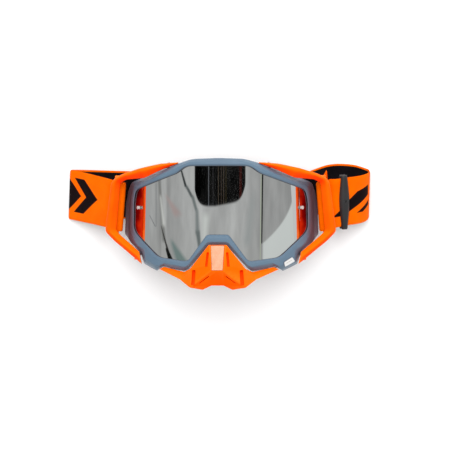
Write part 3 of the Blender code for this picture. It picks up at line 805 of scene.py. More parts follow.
def foam_rings():
    """Foam layers: each is a ring that swells slightly between its glue lines."""
    pairs = outline_pair(APERTURE, RIM[:7] + FOAM_RIM + RIM[11:])
    start = FOAM_SEAT
    looks = {"foam_base": (FOAM_DARK, "foam_dark"), "foam_middle": (FOAM_SOFT, "foam_dark"),
             "foam_fleece": (FLEECE, "fleece_black")}
    steps = [r / FOAM_ROWS for r in range(FOAM_ROWS + 1)]
    for k, (name, depth) in enumerate(FOAM_LAYERS):
        (inner, outer), (inner_rear, outer_rear) = FOAM_SHARES[k:k + 2]
        swell, sharp = (0.02, 0.9) if name == "foam_fleece" else (0.035, 0.5)
        sections = []
        for pair in pairs:
            front = rear_w(pair[1].x) - start

            def wall(edge, edge_rear, t, bulge):
                share = edge + (edge_rear - edge) * t + bulge * math.sin(math.pi * t)
                return at(pair, share, front - depth * t)

            def flat(first, last, c, w):
                return at(pair, first + (last - first) * c / FOAM_COLUMNS, w)

            corners = [wall(inner, inner_rear, t, -swell) for t in steps]
            corners += [flat(inner_rear, outer_rear, c, front - depth) for c in range(1, FOAM_COLUMNS)]
            corners += [wall(outer, outer_rear, 1 - t, swell) for t in steps]
            corners += [flat(inner, outer, c, front) for c in range(FOAM_COLUMNS - 1, 0, -1)]
            cuts = [0.0] * len(corners)
            for first in (0, FOAM_ROWS + FOAM_COLUMNS):
                cuts[first] = cuts[first + FOAM_ROWS] = sharp
            sections.append([to_row(p + wobble(p)) for p in rounded(corners, cuts, 2)])
        look, slot_name = looks[name]
        made = swept(name + "_ring", sections, True, [look], 70)
        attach(made, "goggles")
        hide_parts(name)
        start += depth + FOAM_GAP


def tear_off_posts():
    """Small waisted studs for a tear-off film."""
    profile = ((0.5, 1.45), (0.75, 1.6), (1.0, 1.35), (1.35, 1.05), (1.75, 1.05), (2.05, 1.5),
               (2.3, 1.68), (2.5, 1.55), (2.6, 1.2))       # (along, radius)
    pearl = moulded("stud_grey", (0.42, 0.36, 0.34), (0.5, 0.43, 0.41), (0.8, 0.75, 0.72),
                    0.25, 0.4, 0.01, 0.4)
    for name, side in (("left", -1), ("right", 1)):
        u = side * 75.0
        foot = Vector((u, 7.2, lens_w(u) - LENS_SINK))
        normal = Vector((u, 0, LENS_RADIUS + lens_w(u))).normalized()
        made = turned(f"tear_off_stud_{name}", foot, normal, profile, pearl, 28)
        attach(made, "goggles")
        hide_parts(f"tear_off_post_{name}")


def tab_label():
    """A slightly domed film with rounded corners on the right tab."""
    pairs = outline_pair(APERTURE, RIM, 3, 13.0)
    tab = [min(pairs, key=lambda pair: (pair[1] - Vector(corner[:2])).length) for corner in RIM[8:10]]

    def spot(along, share, lift):
        ends = [Vector(at(p, share, front_w(p, share) + 1.95)) for p in tab]
        return ends[0].lerp(ends[1], along) + Vector((0, 0, lift))

    columns, rows = 24, 12
    points, marks = [], []
    for lift in (GAP + 0.5, GAP):
        for r in range(rows + 1):
            for c in range(columns + 1):
                x, y = 2 * c / columns - 1, 2 * r / rows - 1
                pull = 1 - 0.07 * abs(x) ** 6 * abs(y) ** 6
                x, y = x * pull, y * pull
                dome = -0.12 * max(abs(x), abs(y)) ** 10 if lift > GAP else 0.0
                points.append(to_row(spot(0.41 + 0.38 * x, 0.77 + 0.17 * y, lift + dome)))
                marks.append((c / columns, r / rows, 0))
    line = columns + 1
    size = line * (rows + 1)
    faces = grid_faces(rows, columns) + grid_faces(rows, columns, size)
    rim = list(range(line)) + [r * line + columns for r in range(1, rows + 1)]
    rim += [rows * line + c for c in range(columns - 1, -1, -1)]
    rim += [r * line for r in range(rows - 1, 0, -1)]
    for a, b in zip(rim, rim[1:] + rim[:1]):
        faces.append((a, b, b + size, a + size))
    made = piece("label_blank", points, faces, [LABEL], fields={"label": marks})
    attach(made, "goggles")
    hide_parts("tab_label")


# ---------------------------------------------------------------- outriggers

def depth_along(path, stations, soft):
    """The depth at each point of a path, in proportion to its distance from one station to the next."""
    run = [0.0]
    for a, b in zip(path, path[1:]):
        run.append(run[-1] + (b - a).length)
    at = [run[min(range(len(path)), key=lambda k: (path[k] - spot).length)] for spot, _ in stations]
    depths = [depth for _, depth in stations]
    return [float(np.mean(np.interp((r - soft, r, r, r + soft), at, depths))) for r in run]


def arm_sections(side):
    """An outrigger's sections from its top to its low end, with a softly ridged front."""
    steps = 7
    cuts = [max(1, round((Vector(b[0][:2]) - Vector(a[0][:2])).length / 4)) for a, b in zip(ARM, ARM[1:])]
    outer = blunted([s[0] for s in ARM], steps, cuts)
    inner = blunted([s[1] for s in ARM], steps, cuts)
    depth = depth_along(outer, [(Vector(s[0][:2]), s[2]) for s in ARM], 2.5)
    sections = []
    for a, b, w in zip(outer, inner, depth):
        width = (a - b).length
        lean = min(1.0, width / 5.0)
        corners = []
        for share, height in ((0.0, -ARM_THICKNESS), (0.0, -1.9 * lean), (0.30, 0.0), (0.50, 0.0),
                              (1.0, -2.6 * lean), (1.0, -ARM_THICKNESS)):
            spot = a.lerp(b, share)
            corners.append((side * spot.x, spot.y, w + height))
        soft = 0.9 * lean
        cuts = [0.7 * lean, soft, soft, soft, 0.6 * lean, 0.7 * lean]
        sections.append([to_row(p) for p in rounded(corners, cuts, 3)])
    return sections


def outrigger(name, side):
    arm = swept(f"arm_{name}", arm_sections(side), False, [ORANGE])
    top, along = hinge_line(side)
    low = Vector(mirrored(HINGE_LOW, side))
    parts = [arm, rod(f"post_{name}", mirrored(POST_TOP, side), mirrored(POST_LOW, side),
                      POST_RADIUS, ORANGE)]
    for spot, end in (("top", POST_TOP), ("low", POST_LOW)):
        reach = Vector(mirrored(end, side))
        parts.append(block(f"knee_{spot}_{name}", reach + Vector((side * 1.0, 0, 4.0)), (6, 3.7, 13),
                           ORANGE, 0, 0.9))
    for spot, start, end in (("top", top - along * 2.3, top - along * 0.2),
                             ("low", low, low + along * 4.6)):
        parts.append(rod(f"boss_{spot}_{name}", start, end, BOSS_RADIUS - 0.5, ORANGE))
    parts.append(block(f"web_{name}", low + along * 2.9 + Vector((0, 0, 3.0)), (4.4, 3.6, 6.5),
                       ORANGE, 0, 0.6))
    made = joined(f"outrigger_arm_{name}", parts)
    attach(made, f"outrigger_{name}")
    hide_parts(f"outrigger_{name}")


# ---------------------------------------------------------------- nose guard

def guard_body():
    """The guard's faceted front from its named corners, thickened backwards."""
    names = list(GUARD)
    points = [GUARD[n] for n in names]
    depths = {GUARD[n][1]: GUARD_DEPTH.get(n, GUARD_THICKNESS) for n in names}
    faces = [[names.index(n) for n in face] for face in GUARD_FACES]
    middle = {n: k for k, n in enumerate(names) if n.endswith("_mid")}
    left = {}
    for k, n in enumerate(names):
        if n in middle:
            left[k] = k
        else:
            left[k] = len(points)
            points.append(mirrored(GUARD[n], -1))
    faces += [[left[k] for k in reversed(face)] for face in faces]
    work = bmesh.new()
    verts = [work.verts.new(p) for p in points]
    for face in faces:
        work.faces.new([verts[k] for k in face])
    bmesh.ops.recalc_face_normals(work, faces=work.faces)
    grown = bmesh.ops.extrude_face_region(work, geom=list(work.faces), use_keep_orig=True)
    for v in grown["geom"]:
        if isinstance(v, bmesh.types.BMVert):
            v.co.z -= depths[min(depths, key=lambda height: abs(height - v.co.y))]
    work.verts.index_update()
    points = [to_row(v.co) for v in work.verts]
    faces = [[v.index for v in f.verts] for f in work.faces]
    work.free()
    return piece("nose_guard_shell", points, faces, [ORANGE])


def panel_prism(name, inset, raise_by, material):
    """The guard's insert, or with no inset the pocket that it sits in."""
    slope = (GUARD["panel"][2] - GUARD["top"][2]) / (GUARD["panel"][1] - GUARD["top"][1])
    points = []
    for depth in (-1.0 + inset, raise_by):
        for half, v in ((6.3, -27.3 - inset), (5.2, -49.8 + inset)):
            w = GUARD["top"][2] + slope * (v - GUARD["top"][1]) + depth
            points += [to_row((-half + inset, v, w)), to_row((half - inset, v, w))]
    return piece(name, points, BOX_FACES, [material])


def nose_guard():
    guard = bevelled(guard_body(), 0.55, 3, 8.0)
    cutters = [panel_prism("cut_panel", 0.0, 2.2, ORANGE)]
    # The slots' cut walls take the cutters' darker red: painted shade in the pockets.
    for side in (-1, 1):
        cuts = (("upper", (side * 9.3, -40.0, 11.6), (2.2, 13, 20), side * 6.0, 0.6),
                ("lower", (side * 21.8, -56.5, 8.1), (3.2, 14, 20), side * 4.0, 0.8),
                ("slit", (side * 12.0, -58.2, 11.2), (11, 0.9, 20), side * -37.0, 0.2))
        for spot, centre, size, angle, soft in cuts:
            cutters.append(block(f"cut_{spot}_{side}", centre, size, ORANGE_POCKET_SHADE, angle, soft))
    cut(guard, cutters, 28.0)
    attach(guard, "nose_guard")
    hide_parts("nose_guard")
    panel = bevelled(panel_prism("nose_guard_insert", GAP, 0.9, PEACH), 0.35)
    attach(panel, "nose_guard")
    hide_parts("nose_guard_panel")


# ---------------------------------------------------------------- strap

FOLD_SWELL = 1.6      # how far the fold bulges past the post


def fold_edges(side):
    """Edge lines of the fold round an outrigger's post, from the front layer to the return."""
    edges = []
    for v, end_front, end_back in ((31.0, (STRAP_BREAK - 1, 23.3, 27.6), (99.5, 22.0, 20.6)),
                                   (-15.0, (STRAP_BREAK + 2.4, -22.3, 33.0), (104.0, -22.0, 27.0))):
        share = (POST_TOP[1] - v) / (POST_TOP[1] - POST_LOW[1])
        centre = Vector(POST_TOP).lerp(Vector(POST_LOW), share)
        reach = POST_RADIUS + GAP + STRAP_THICKNESS / 2
        line = [end_front]
        for k in range(9):
            angle = math.radians(78 + 204 * k / 8)
            inward = FOLD_SWELL * max(0.0, -math.cos(angle))
            offset = Vector((math.cos(angle) * reach - inward, 0, math.sin(angle) * reach))
            line.append(to_table(centre + offset))
        line.append(end_back)
        edges.append([Vector(mirrored(p, side)) for p in line])
    return edges


def run_through(top, low, spacing):
    """Both edge lines read from smooth curves through their knots, at even steps along their middle.

    Returns [(top point, low point, distance along)].
    """
    middle = [(a + b) / 2 for a, b in zip(top, low)]
    knots = [0.0]
    for a, b in zip(middle, middle[1:]):
        knots.append(knots[-1] + math.sqrt(max((b - a).length, 1e-6)))

    def curve(points, k, t):
        def line(p, q, s, e):
            return p + (q - p) * ((t - s) / (e - s))

        p1, p2 = points[k], points[k + 1]
        p0 = points[k - 1] if k else p1 * 2 - p2
        p3 = points[k + 2] if k + 2 < len(points) else p2 * 2 - p1
        t1, t2 = knots[k], knots[k + 1]
        t0 = knots[k - 1] if k else t1 - (t2 - t1)
        t3 = knots[k + 2] if k + 2 < len(points) else t2 + (t2 - t1)
        a1, a2, a3 = line(p0, p1, t0, t1), line(p1, p2, t1, t2), line(p2, p3, t2, t3)
        return line(line(a1, a2, t0, t2), line(a2, a3, t1, t3), t1, t2)

    dense = []
    steps = 40
    for k in range(len(top) - 1):
        for s in range(steps):
            t = knots[k] + (knots[k + 1] - knots[k]) * s / steps
            dense.append((curve(top, k, t), curve(low, k, t)))
    dense.append((top[-1], low[-1]))
    lengths = [0.0]
    for (a, b), (c, d) in zip(dense, dense[1:]):
        lengths.append(lengths[-1] + ((c + d) / 2 - (a + b) / 2).length)
    total = lengths[-1]
    count = max(2, round(total / spacing))
    found, k = [], 0
    for n in range(count + 1):
        want = total * n / count
        while k < len(lengths) - 2 and lengths[k + 1] < want:
            k += 1
        t = (want - lengths[k]) / max(lengths[k + 1] - lengths[k], 1e-9)
        found.append((dense[k][0].lerp(dense[k + 1][0], t), dense[k][1].lerp(dense[k + 1][1], t), want))
    return found


COLUMNS = 28          # across the webbing
STRAP_STEP = 1.6      # from one row of points to the next
UPRIGHT_AT = 30.0     # how far along the webbing's outside surely faces up
TAIL_LENGTH = 10.5    # of the end sewn back, whose inside is orange
STITCH_PITCH = 2.3


def webbing_piece(name, top, low, outside):
    """Elastic webbing with corded edges. Faces: 0 outside, 1 inside, 2 the tail's inside.

    Returns (object, stations, normals on the outside).
    """
    stations = run_through(top, low, STRAP_STEP)
    normals = []
    for k, (a, b, _) in enumerate(stations):
        before, after = stations[max(k - 1, 0)], stations[min(k + 1, len(stations) - 1)]
        along = (after[0] + after[1]) - (before[0] + before[1])
        normals.append(along.cross(a - b).normalized())
    test = min(range(len(stations)), key=lambda k: abs(stations[k][2] - UPRIGHT_AT))
    if normals[test].z < 0:
        normals = [-n for n in normals]
    points, marks, indices = [], [], []
    half = STRAP_THICKNESS / 2
    for (a, b, s), normal in zip(stations, normals):
        width = (a - b).length
        for layer in (1, -1):
            for c in range(COLUMNS + 1):
                t = c / COLUMNS if layer > 0 else 1 - c / COLUMNS
                side = abs(2 * t - 1)
                edge = (1 - side) * width / 2
                roll = math.sqrt(max(0.0, 1 - (1 - min(edge, 0.8) / 0.8) ** 2))
                bead = 0.06 * math.exp(-((edge - 1.3) / 0.7) ** 2)
                level = half * roll * (1.0 if edge > 2.6 else 0.94) + bead
                drift = noise.noise(Vector((s / 9.0, t * 3.0, 5.0 if top[0].x > 0 else 9.0))) * 0.10
                spot = a.lerp(b, t) + normal * (level * layer + drift * (1 - side ** 6))
                spot.z = max(spot.z, 0.0)
                points.append(table_to_row(spot))
                marks.append((s * MM, (0.5 - t) * STRAP_WIDTH * MM, 0))
    count = 2 * (COLUMNS + 1)
    for station in stations[:-1]:
        inner = 2 if station[2] < TAIL_LENGTH else 1
        indices += [0 if k <= COLUMNS + 1 or k >= count - 2 else inner for k in range(count)]
    indices += [2, 1]
    faces = ring_faces(len(stations), count, False)
    made = piece(name, points, faces, [outside, STRAP_INSIDE, STRAP_TAIL], indices, 60.0, {"cloth": marks})
    return made, stations, normals


def stitches(name, stations, normals, rows):
    """Raised thread stitches on the outside. rows: two (distance along, share across) ends for each."""
    points, faces = [], []

    def spot(s, t):
        k = min(range(len(stations)), key=lambda n: abs(stations[n][2] - s))
        k2 = min(k + 1, len(stations) - 1) if stations[k][2] <= s else max(k - 1, 0)
        gap = stations[k2][2] - stations[k][2]
        f = (s - stations[k][2]) / gap if abs(gap) > 1e-6 else 0.0
        a = stations[k][0].lerp(stations[k2][0], f)
        b = stations[k][1].lerp(stations[k2][1], f)
        normal = normals[k].lerp(normals[k2], f).normalized()
        return a.lerp(b, t) + normal * (STRAP_THICKNESS / 2 + 0.03), normal

    sides = 8
    # share along the stitch, radius, height
    rings = ((0.0, 0.12, 0.0), (0.12, 0.24, 0.05), (0.5, 0.26, 0.10), (0.88, 0.24, 0.05), (1.0, 0.12, 0.0))
    for (s0, t0), (s1, t1) in rows:
        count = max(1, round(math.hypot(s1 - s0, (t1 - t0) * STRAP_WIDTH) / STITCH_PITCH))
        for n in range(count):
            f0, f1 = (n + 0.14) / count, (n + 0.86) / count
            start, normal = spot(s0 + (s1 - s0) * f0, t0 + (t1 - t0) * f0)
            end, _ = spot(s0 + (s1 - s0) * f1, t0 + (t1 - t0) * f1)
            across = (end - start).normalized().cross(normal).normalized()
            base = len(points)
            for f, r, lift in rings:
                centre = start.lerp(end, f) + normal * lift
                points += [table_to_row(centre + across * x * r + normal * y * r) for x, y in circle(sides)]
            faces += [tuple(base + v for v in face) for face in ring_faces(len(rings), sides, False)]
    made = piece(name, points, faces, [THREAD], angle=60)
    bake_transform(made)


# The strap's two edge lines beyond each fold, in table millimetres: to the goggles' top and to
# their bottom
LEFT_REAR_TOP = ((-143.2, 27.9, 3.5), (-144.8, 27.9, 2.6), (-144.6, 27.9, 1.3), (-142.4, 27.9, 0.8),
                 (-128, 27.6, 0.8), (-91, 26.4, 0.8), (-40, 25.4, 0.8), (10, 24.0, 0.8), (50, 22.0, 0.8),
                 (70, 21.6, 0.8), (86, 27.0, 0.8), (100, 31.8, 0.8), (108, 32.9, 0.8), (114, 33.0, 0.8))
LEFT_REAR_LOW = ((-146.6, -20.3, 4.3), (-148.2, -20.3, 3.2), (-148.0, -20.3, 1.6), (-145.6, -20.3, 0.8),
                 (-131, -20.3, 0.8), (-94, -20.3, 0.8), (-43, -20.6, 0.8), (7, -22.0, 0.8),
                 (47, -24.0, 0.8), (68, -24.2, 0.8), (85, -18.8, 0.8), (100, -14.2, 0.8),
                 (108, -13.2, 0.8), (115, -13.0, 0.8))
LEFT_FRONT_TOP = ((-113, 24.8, 21.0), (-126, 26.4, 13.2), (-138, 27.6, 6.0))
LEFT_FRONT_LOW = ((-117, -21.2, 25.4), (-129, -20.8, 16.8), (-141, -20.5, 8.0))
RIGHT_TOP = ((116, 24.0, 24.2), (128, 24.6, 19.2), (134.6, 25.2, 14.6), (138.6, 26.0, 9.4),
             (139.9, 26.9, 5.0), (139.2, 27.8, 2.2), (136.6, 28.6, 1.0), (128, 31.4, 0.8),
             (121, 32.5, 0.8), (114.0, 33.0, 0.8))
RIGHT_LOW = ((119, -21.2, 25.2), (129.4, -20.8, 20.4), (135, -20.2, 15.6), (138.4, -19.6, 10.0),
             (139.4, -18.8, 5.2), (138.8, -18.0, 2.2), (136.6, -17.4, 1.0), (130, -14.8, 0.8),
             (122, -13.5, 0.8), (115.0, -13.0, 0.8))


def path_of(*lines):
    """One line of points; the first of the lines is walked backwards."""
    return [Vector(p) for p in [*reversed(lines[0]), *(p for line in lines[1:] for p in line)]]


def straps():
    top, low = fold_edges(-1)
    top = path_of(top, LEFT_FRONT_TOP, LEFT_REAR_TOP)
    low = path_of(low, LEFT_FRONT_LOW, LEFT_REAR_LOW)
    left, stations, normals = webbing_piece("strap_webbing_left", top, low, STRAP_LEFT)
    left_blend = ("outrigger_left", "goggles", tuple(table_to_row((-110, 2, 21.0))),
                  tuple(table_to_row((-110, 2, 4.2))))
    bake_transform(left)
    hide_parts("strap_fold_left", "strap_front_left", "strap_rear")
    stations[-1][2] * MM
    box_rows = [((25.0, 0.06), (25.0, 0.94)), ((27.5, 0.06), (27.5, 0.94))]
    stitches("stitching_left", stations, normals, box_rows)

    top, low = fold_edges(1)
    for k, lift in ((-4, 1.5), (-3, 3.5), (-2, 5.0)):
        top[k].y += lift
        low[k].y += lift
    top[-1], low[-1] = Vector((99.0, 30.5, 19.3)), Vector((103.0, -16.0, 25.0))
    top = path_of(top, [(STRAP_BREAK + 3.5, 23.5, 28.2)], RIGHT_TOP)
    low = path_of(low, [(STRAP_BREAK + 6.8, -21.8, 31.0)], RIGHT_LOW)
    right, stations, _ = webbing_piece("strap_webbing_right", top, low, STRAP_RIGHT)
    right_blend = ("outrigger_right", "goggles", tuple(table_to_row((98.5, 2, 25.0))),
                   tuple(table_to_row((109.0, 2, 25.0))))
    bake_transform(right)
    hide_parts("strap_fold_right", "strap_loop_right")
    stations[-1][2] * MM


def silicone_beads():
    """Wavy beads printed on the strap's inner side."""
    stations = 112
    for k in range(3):
        sections = []
        for n in range(stations + 1):
            x = -62 + 112 * n / stations
            y = 11.0 - 10.0 * k - 0.025 * x + 0.55 * math.sin(x / 2.1)
            end = min(1.0, 0.35 + min(n, stations - n) * 0.3)
            centre = Vector((x, y, STRAP_THICKNESS + GAP + 0.2))
            sections.append([table_to_row(centre + Vector((0, cos * 0.9 * end, sin * 0.3 * end)))
                             for cos, sin in circle(12)])
        made = swept(f"silicone_bead_{k + 1}", sections, False, [SILICONE])
        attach(made, "goggles")
        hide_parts(f"silicone_strip_{k + 1}")


def slider():
    """A spindle-shaped bar in front of the strap, with a flat bar behind it and a dimple."""
    top_start, low_start = Vector((STRAP_BREAK + 1, 23.4, 29.0)), Vector((STRAP_BREAK + 4.4, -21.6, 30.6))
    top = top_start.lerp(Vector(RIGHT_TOP[1]), 0.44)
    low = low_start.lerp(Vector(RIGHT_LOW[1]), 0.36)
    middle = (top + low) / 2
    across = (top - low).normalized()
    along = (Vector(RIGHT_TOP[1]) - top_start).normalized()
    along = (along - across * along.dot(across)).normalized()
    normal = along.cross(across)
    if normal.z < 0:
        normal = -normal
    half = SLIDER_LENGTH / 2
    slot_half = STRAP_THICKNESS / 2 + SLIDER_CLEARANCE
    stations = 60

    def spot(a, c, n):
        return table_to_row(middle + across * c + along * a + normal * n)

    def bar(name, shape):
        sections = []
        for k in range(stations + 1):
            at_across = -half + SLIDER_LENGTH * k / stations
            swell = math.cos(min(1.0, abs(at_across) / half) * math.pi / 2)
            section = rounded(*shape(3.2 + 1.9 * swell ** 1.5, 2.6 + 0.9 * swell), 3)
            end = min(1.0, 0.86 + 0.14 * math.sqrt(max(0.0, (half - abs(at_across)) / 1.6)))
            level = sum(c[1] for c in section) / len(section)
            sections.append([spot(c[0] * end, at_across, level + (c[1] - level) * end) for c in section])
        return swept(name, sections, False, [BLACK])

    def front(width, height):
        rise = [(-width, 0), (-width, height * 0.35), (-0.55 * width, height)]
        both = rise + [(-x, y) for x, y in reversed(rise)]
        return [(x, slot_half + y, 0) for x, y in both], [0.5, 0.8, 1.2, 1.2, 0.8, 0.5]

    def rear(width, _):
        corners = [(-width, -slot_half - 1.8, 0), (-width, -slot_half, 0), (width, -slot_half, 0),
                   (width, -slot_half - 1.8, 0)]
        return corners, [0.6, 0.4, 0.4, 0.6]

    front_bar = bar("slider_front", front)
    dimple = [[spot(x * radius, 1.0 + y * radius, slot_half + level) for x, y in circle(24)]
              for level, radius in ((2.75, 0.7), (3.4, 1.25), (6.0, 2.2))]
    cut(front_bar, [swept("dimple", dimple, False, [BLACK])], 40)
    ends = []
    for sign in (-1, 1):
        points = [spot(a, c * sign, n) for a, c, n in product(
            (-3.0, 3.0), (STRAP_WIDTH / 2 + 0.75, half - 0.3), (-slot_half - 1.7, slot_half + 0.8))]
        ends.append(bevelled(piece(f"slider_end_{sign}", points, BOX_FACES, [BLACK]), 0.5))
    made = joined("slider_moulding", [front_bar, bar("slider_rear", rear)] + ends)
    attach(made, "strap_slider")
    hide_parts("strap_slider")


def finish_cad_nodes():
    """Better materials on the CAD nodes that stay."""
    for name, look in (("hinge_pin", STEEL), ("vent_filter", FOAM_DARK)):
        for node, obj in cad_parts.items():
            if node.startswith(name):
                for slot in obj.material_slots:
                    slot.link = "OBJECT"
                    slot.material = look


# ---------------------------------------------------------------- studio

LIT_SPOT = (0, 0, 0.05)     # what the lights look at, in metres


def stage_mesh(name, points, look, faces=((0, 1, 2, 3),)):
    """A part of the studio, by default one flat plate."""
    mesh = bpy.data.meshes.new(name)
    mesh.from_pydata([tuple(p) for p in points], [], faces)
    mesh.materials.append(look.material)
    return in_scene(name, mesh)


def only_in_reflections(obj):
    obj.visible_camera = False
    obj.visible_diffuse = False
    obj.visible_shadow = False
    obj.visible_transmission = False
    obj.visible_volume_scatter = False


def studio():
    """Pale floor, soft light from the goggles' top, and a screen that only reflections see."""
    look = Look("studio_floor", Roughness=0.9, Specular_IOR_Level=0.0)
    look.set(Base_Color=look.mix(look.grain(300.0, 1.0), (0.925, 0.925, 0.925), (0.94, 0.94, 0.94)))
    reach = 3.0
    floor = stage_mesh("studio_floor", [(-reach, -reach, 0), (reach, -reach, 0), (reach, reach, 0),
                                        (-reach, reach, 0)], look)

    def area(name, spot, size, power):
        data = bpy.data.lights.new(name, "AREA")
        data.shape = "RECTANGLE"
        data.size, data.size_y = size
        data.energy = power
        light = in_scene(name, data)
        light.location = spot
        light.rotation_euler = (Vector(spot) - Vector(LIT_SPOT)).to_track_quat("Z", "Y").to_euler()
        light.visible_glossy = name == "key"

    area("key", (0.08, 0.78, 1.12), (1.4, 1.0), 17.0)
    area("fill_left", (-0.9, -0.1, 0.8), (0.8, 0.8), 2.5)
    area("fill_right", (0.9, -0.1, 0.8), (0.8, 0.8), 2.5)
    world = bpy.data.worlds.new("studio")
    bpy.context.scene.world = world
    world.use_nodes = True
    background = world.node_tree.nodes["Background"]
    background.inputs[0].default_value = (1, 1, 1, 1)
    background.inputs[1].default_value = 0.66
    reflection_screen()
    temple_cards()


SCREEN_RADIUS = 500.0
SCREEN_DEGREES = 208.0
SCREEN_LOW = -260
SCREEN_HEIGHT = 640
# Grey across the screen: (share of its width, tone)
SCREEN_TONES = (
    (0.00, 0.46), (0.07, 0.50), (0.09, 0.54), (0.14, 0.50), (0.165, 0.46), (0.178, 0.40), (0.19, 0.62),
    (0.21, 0.60), (0.225, 0.46), (0.25, 0.50), (0.29, 0.56), (0.34, 0.62), (0.40, 0.64), (0.45, 0.56),
    (0.50, 0.54), (0.56, 0.62), (0.62, 0.58), (0.65, 0.50), (0.68, 0.52), (0.71, 0.38), (0.74, 0.45),
    (0.79, 0.46), (0.84, 0.42), (1.00, 0.40))
# Soft strokes on the screen: start and end as (degrees across, millimetres up), half width at each,
# sharpness and tone
SCREEN_STROKES = (
    ((-93, 20), (-74, -11), 0.45, 0.45, 2.0, (0.25, 0.26, 0.27)),
    ((-73, 45), (-73, -11), 0.45, 0.45, 2.0, (0.28, 0.29, 0.30)),
    ((-70, 62), (-62, -30), 1.2, 2.5, 0.4, (0.30, 0.30, 0.29)),
    ((-67, 28), (-62, -10), 0.8, 1.8, 0.35, (0.80, 0.80, 0.78)),
    ((-66, -10), (-57, -42), 0.3, 1.4, 0.9, (0.05, 0.05, 0.045)),
    ((-59, -38), (-49, -66), 1.5, 4.0, 1.2, (0.008, 0.010, 0.008)),
    ((-53, -28), (-36, -66), 1.0, 8.0, 0.25, (0.24, 0.32, 0.31)),
    ((-60, 29), (-45, 3), 0.3, 4.5, 0.25, (0.55, 0.44, 0.43)),
    ((-42, 62), (-36, 38), 0.8, 1.3, 1.4, (0.05, 0.06, 0.06)),
    ((-36, 40), (-29, 25), 1.3, 1.5, 0.8, (0.14, 0.16, 0.16)),
    ((-29, 27), (-24.5, 8), 1.5, 1.5, 0.6, (0.24, 0.27, 0.27)),
    ((-24.3, 10), (-23.5, -20), 1.5, 2.2, 0.4, (0.30, 0.33, 0.33)),
    ((-23.5, -16), (-19.5, -50), 2.2, 1.8, 0.5, (0.20, 0.23, 0.23)),
    ((-15, 4), (-17, -40), 3.5, 2.0, 0.2, (0.78, 0.80, 0.78)),
    ((34, 30), (27, -34), 1.5, 4.0, 0.15, (0.46, 0.48, 0.48)),
    ((44.2, 80), (43.0, -32), 0.9, 0.6, 2.0, (0.010, 0.012, 0.010)),
    ((42.6, 80), (41.2, -60), 0.35, 0.3, 1.6, (0.60, 0.66, 0.50)))
# Faint upright lines inside the hanging shape: degrees across, half width, tone
SHAPE_LINES = (
    (-12.0, 0.35, (0.16, 0.17, 0.19)), (-7.5, 0.2, (0.05, 0.05, 0.055)), (-2.0, 0.3, (0.09, 0.07, 0.05)),
    (0.8, 0.2, (0.10, 0.07, 0.05)), (3.2, 0.25, (0.11, 0.08, 0.055)), (5.6, 0.2, (0.08, 0.06, 0.02)),
    (20.5, 1.2, (0.05, 0.008, 0.006)))


def reflection_screen():
    """A curved screen in front of the lens: soft grey upright bands and one dark hanging shape."""
    points, marks = [], []
    columns, rows = 96, 24
    for c in range(columns + 1):
        degrees = (c / columns - 0.5) * SCREEN_DEGREES
        angle = math.radians(degrees)
        for r in range(rows + 1):
            v = SCREEN_LOW + SCREEN_HEIGHT * r / rows
            points.append(to_row((SCREEN_RADIUS * math.sin(angle), v,
                                  SCREEN_RADIUS * math.cos(angle) - LENS_RADIUS)))
            marks.append((degrees, v, 0))
    look = Look("studio_screen", glowing=True, Strength=1.0)
    where = look.attribute("screen")
    across, height, _ = look.split(where)
    streaks = look.noise(where, [0.12, 0.018, 1.0], 4.0)
    shade = look.ramp(across * (1 / SCREEN_DEGREES) + 0.5, SCREEN_TONES, "EASE")
    shade = look.mix(1.0, shade, look.ramp(streaks, ((0.3, 0.86), (0.7, 1.12))), "MULTIPLY")
    shade = look.mix((height * (-1 / 60.0)).clamped() * 0.5, shade, (0.50, 0.50, 0.49))
    border = (height * 0.62 + 70.0 + height * height * -0.0072).math("MAXIMUM", 43.0)
    shade = look.mix(((across - border) * 0.45).clamped(), shade, (0.80, 0.83, 0.82))
    for *shape, tone in SCREEN_STROKES:
        shade = look.mix(stroke(across, height, *shape), shade, tone)
    dark = look.ramp(streaks, ((0.45, 0.001), (0.70, 0.012)))
    for spot, wide, tone in SHAPE_LINES:
        dark = look.mix(stroke(across, height, (spot, 90), (spot, 10), wide, wide, 2.0), dark, tone)
    look.set(Color=look.mix(hanging_shape(across, height), shade, dark))
    screen = stage_mesh("studio_screen", points, look, grid_faces(columns, rows))
    add_marks(screen.data, "screen", marks)
    only_in_reflections(screen)


RED_CARD_U = 88.0         # in goggle millimetres
GREY_CARD_X = 0.175       # in metres
BLEND_WIDTH = 14.0        # of the red cards' painted shade, darker lower down, and of its blotches


def temple_cards():
    """Cards that only reflections see: red ones that the lens's two ends mirror, a painted reflection of
    the arms in shade, grey ones further out.
    """
    look = Look("studio_card", glowing=True)
    up = look.split(look.place())[2] * (1 / MM / BLEND_WIDTH) - 26 / BLEND_WIDTH
    level = (look.grain(BLEND_WIDTH, 3.0) - 0.5) * 1.6 + up
    look.set(Color=look.ramp(level, ((0.0, (0.10, 0.001, 0.001)), (0.5, (0.34, 0.002, 0.001)),
                                     (1.0, (0.95, 0.03, 0.004)))))
    for side, top in ((-1, -37.0), (1, -38.6)):
        corners = [to_row((side * RED_CARD_U, v, w))
                   for v, w in ((-45, -62), (45, -62), (45, top), (-45, top))]
        only_in_reflections(stage_mesh(f"studio_card_{side}", corners, look))
    for side, grey in ((-1, 0.50), (1, 0.78)):
        look = Look("studio_grey_card", glowing=True, Color=(grey, grey, grey))
        corners = [(side * GREY_CARD_X, y, z)
                   for y, z in ((-0.15, 0.0), (0.15, 0.0), (0.15, 0.049), (-0.15, 0.049))]
        only_in_reflections(stage_mesh(f"studio_grey_card_{side}", corners, look))


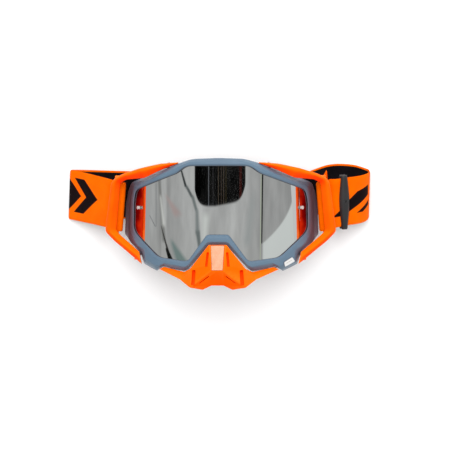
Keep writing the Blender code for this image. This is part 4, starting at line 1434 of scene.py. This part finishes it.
def hanging_shape(across, height):
    """1 inside a round-bottomed dark shape that hangs from the screen's top, shorter to one side."""
    x = (across + 0.5) / 26.5
    corner = abs(x).math("POWER", 7.0) * 23.0
    bottom = corner + x.math("MAXIMUM", -0.2) * 6.0 + 14.0
    return ((height - bottom) / 2.5).clamped() * ((1.0 - abs(x)) * 30.0).clamped()


def stroke(across, height, start, end, wide, wide_end, sharp):
    """1 on a soft stroke between two (across, height) places, wide at its start and wide_end at its end."""
    length = math.hypot(end[0] - start[0], end[1] - start[1])
    dx, dy = (end[0] - start[0]) / length, (end[1] - start[1]) / length
    x, y = across - start[0], height - start[1]
    run = x * dx + y * dy
    reach = run * ((wide_end - wide) / length) + wide
    near = ((reach - abs(x * -dy + y * dx)) * sharp + 0.5).clamped()
    ends = run.math("MINIMUM", length - run)
    return near * (ends * (sharp * 0.5) + 0.5).clamped()


CAMERA_DISTANCE = 1100    # from the lens's middle, in millimetres, as are the next two
CAMERA_RIGHT = 6.57
CAMERA_DOWN = 9.0
CAMERA_TURN = math.radians(3.0)
FOCAL_LENGTH = 97.8


def camera():
    """Above the goggles, turned a little to the right of straight on."""
    bpy.context.scene.view_settings.view_transform = "Standard"
    data = bpy.data.cameras.new("camera")
    data.sensor_width = 36.0
    data.lens = FOCAL_LENGTH
    data.clip_start = 0.05
    obj = in_scene("camera", data)
    front = math.cos(CAMERA_TURN)
    back = Vector((math.sin(CAMERA_TURN), math.sin(TILT) * front, math.cos(TILT) * front))
    right = Vector((0, math.cos(TILT), -math.sin(TILT))).cross(back).normalized()
    up = back.cross(right)
    spot = to_row((0, 0, 0)) + (back * CAMERA_DISTANCE + right * CAMERA_RIGHT - up * CAMERA_DOWN) * MM
    obj.matrix_world = Matrix(((right.x, up.x, back.x, spot.x), (right.y, up.y, back.y, spot.y),
                               (right.z, up.z, back.z, spot.z), (0, 0, 0, 1)))
    bpy.context.scene.camera = obj


camera()
studio()
front_frame()
lens()
foam_rings()
tear_off_posts()
tab_label()
for arm_name, arm_side in (("left", -1), ("right", 1)):
    outrigger(arm_name, arm_side)
nose_guard()
straps()
silicone_beads()
slider()
finish_cad_nodes()
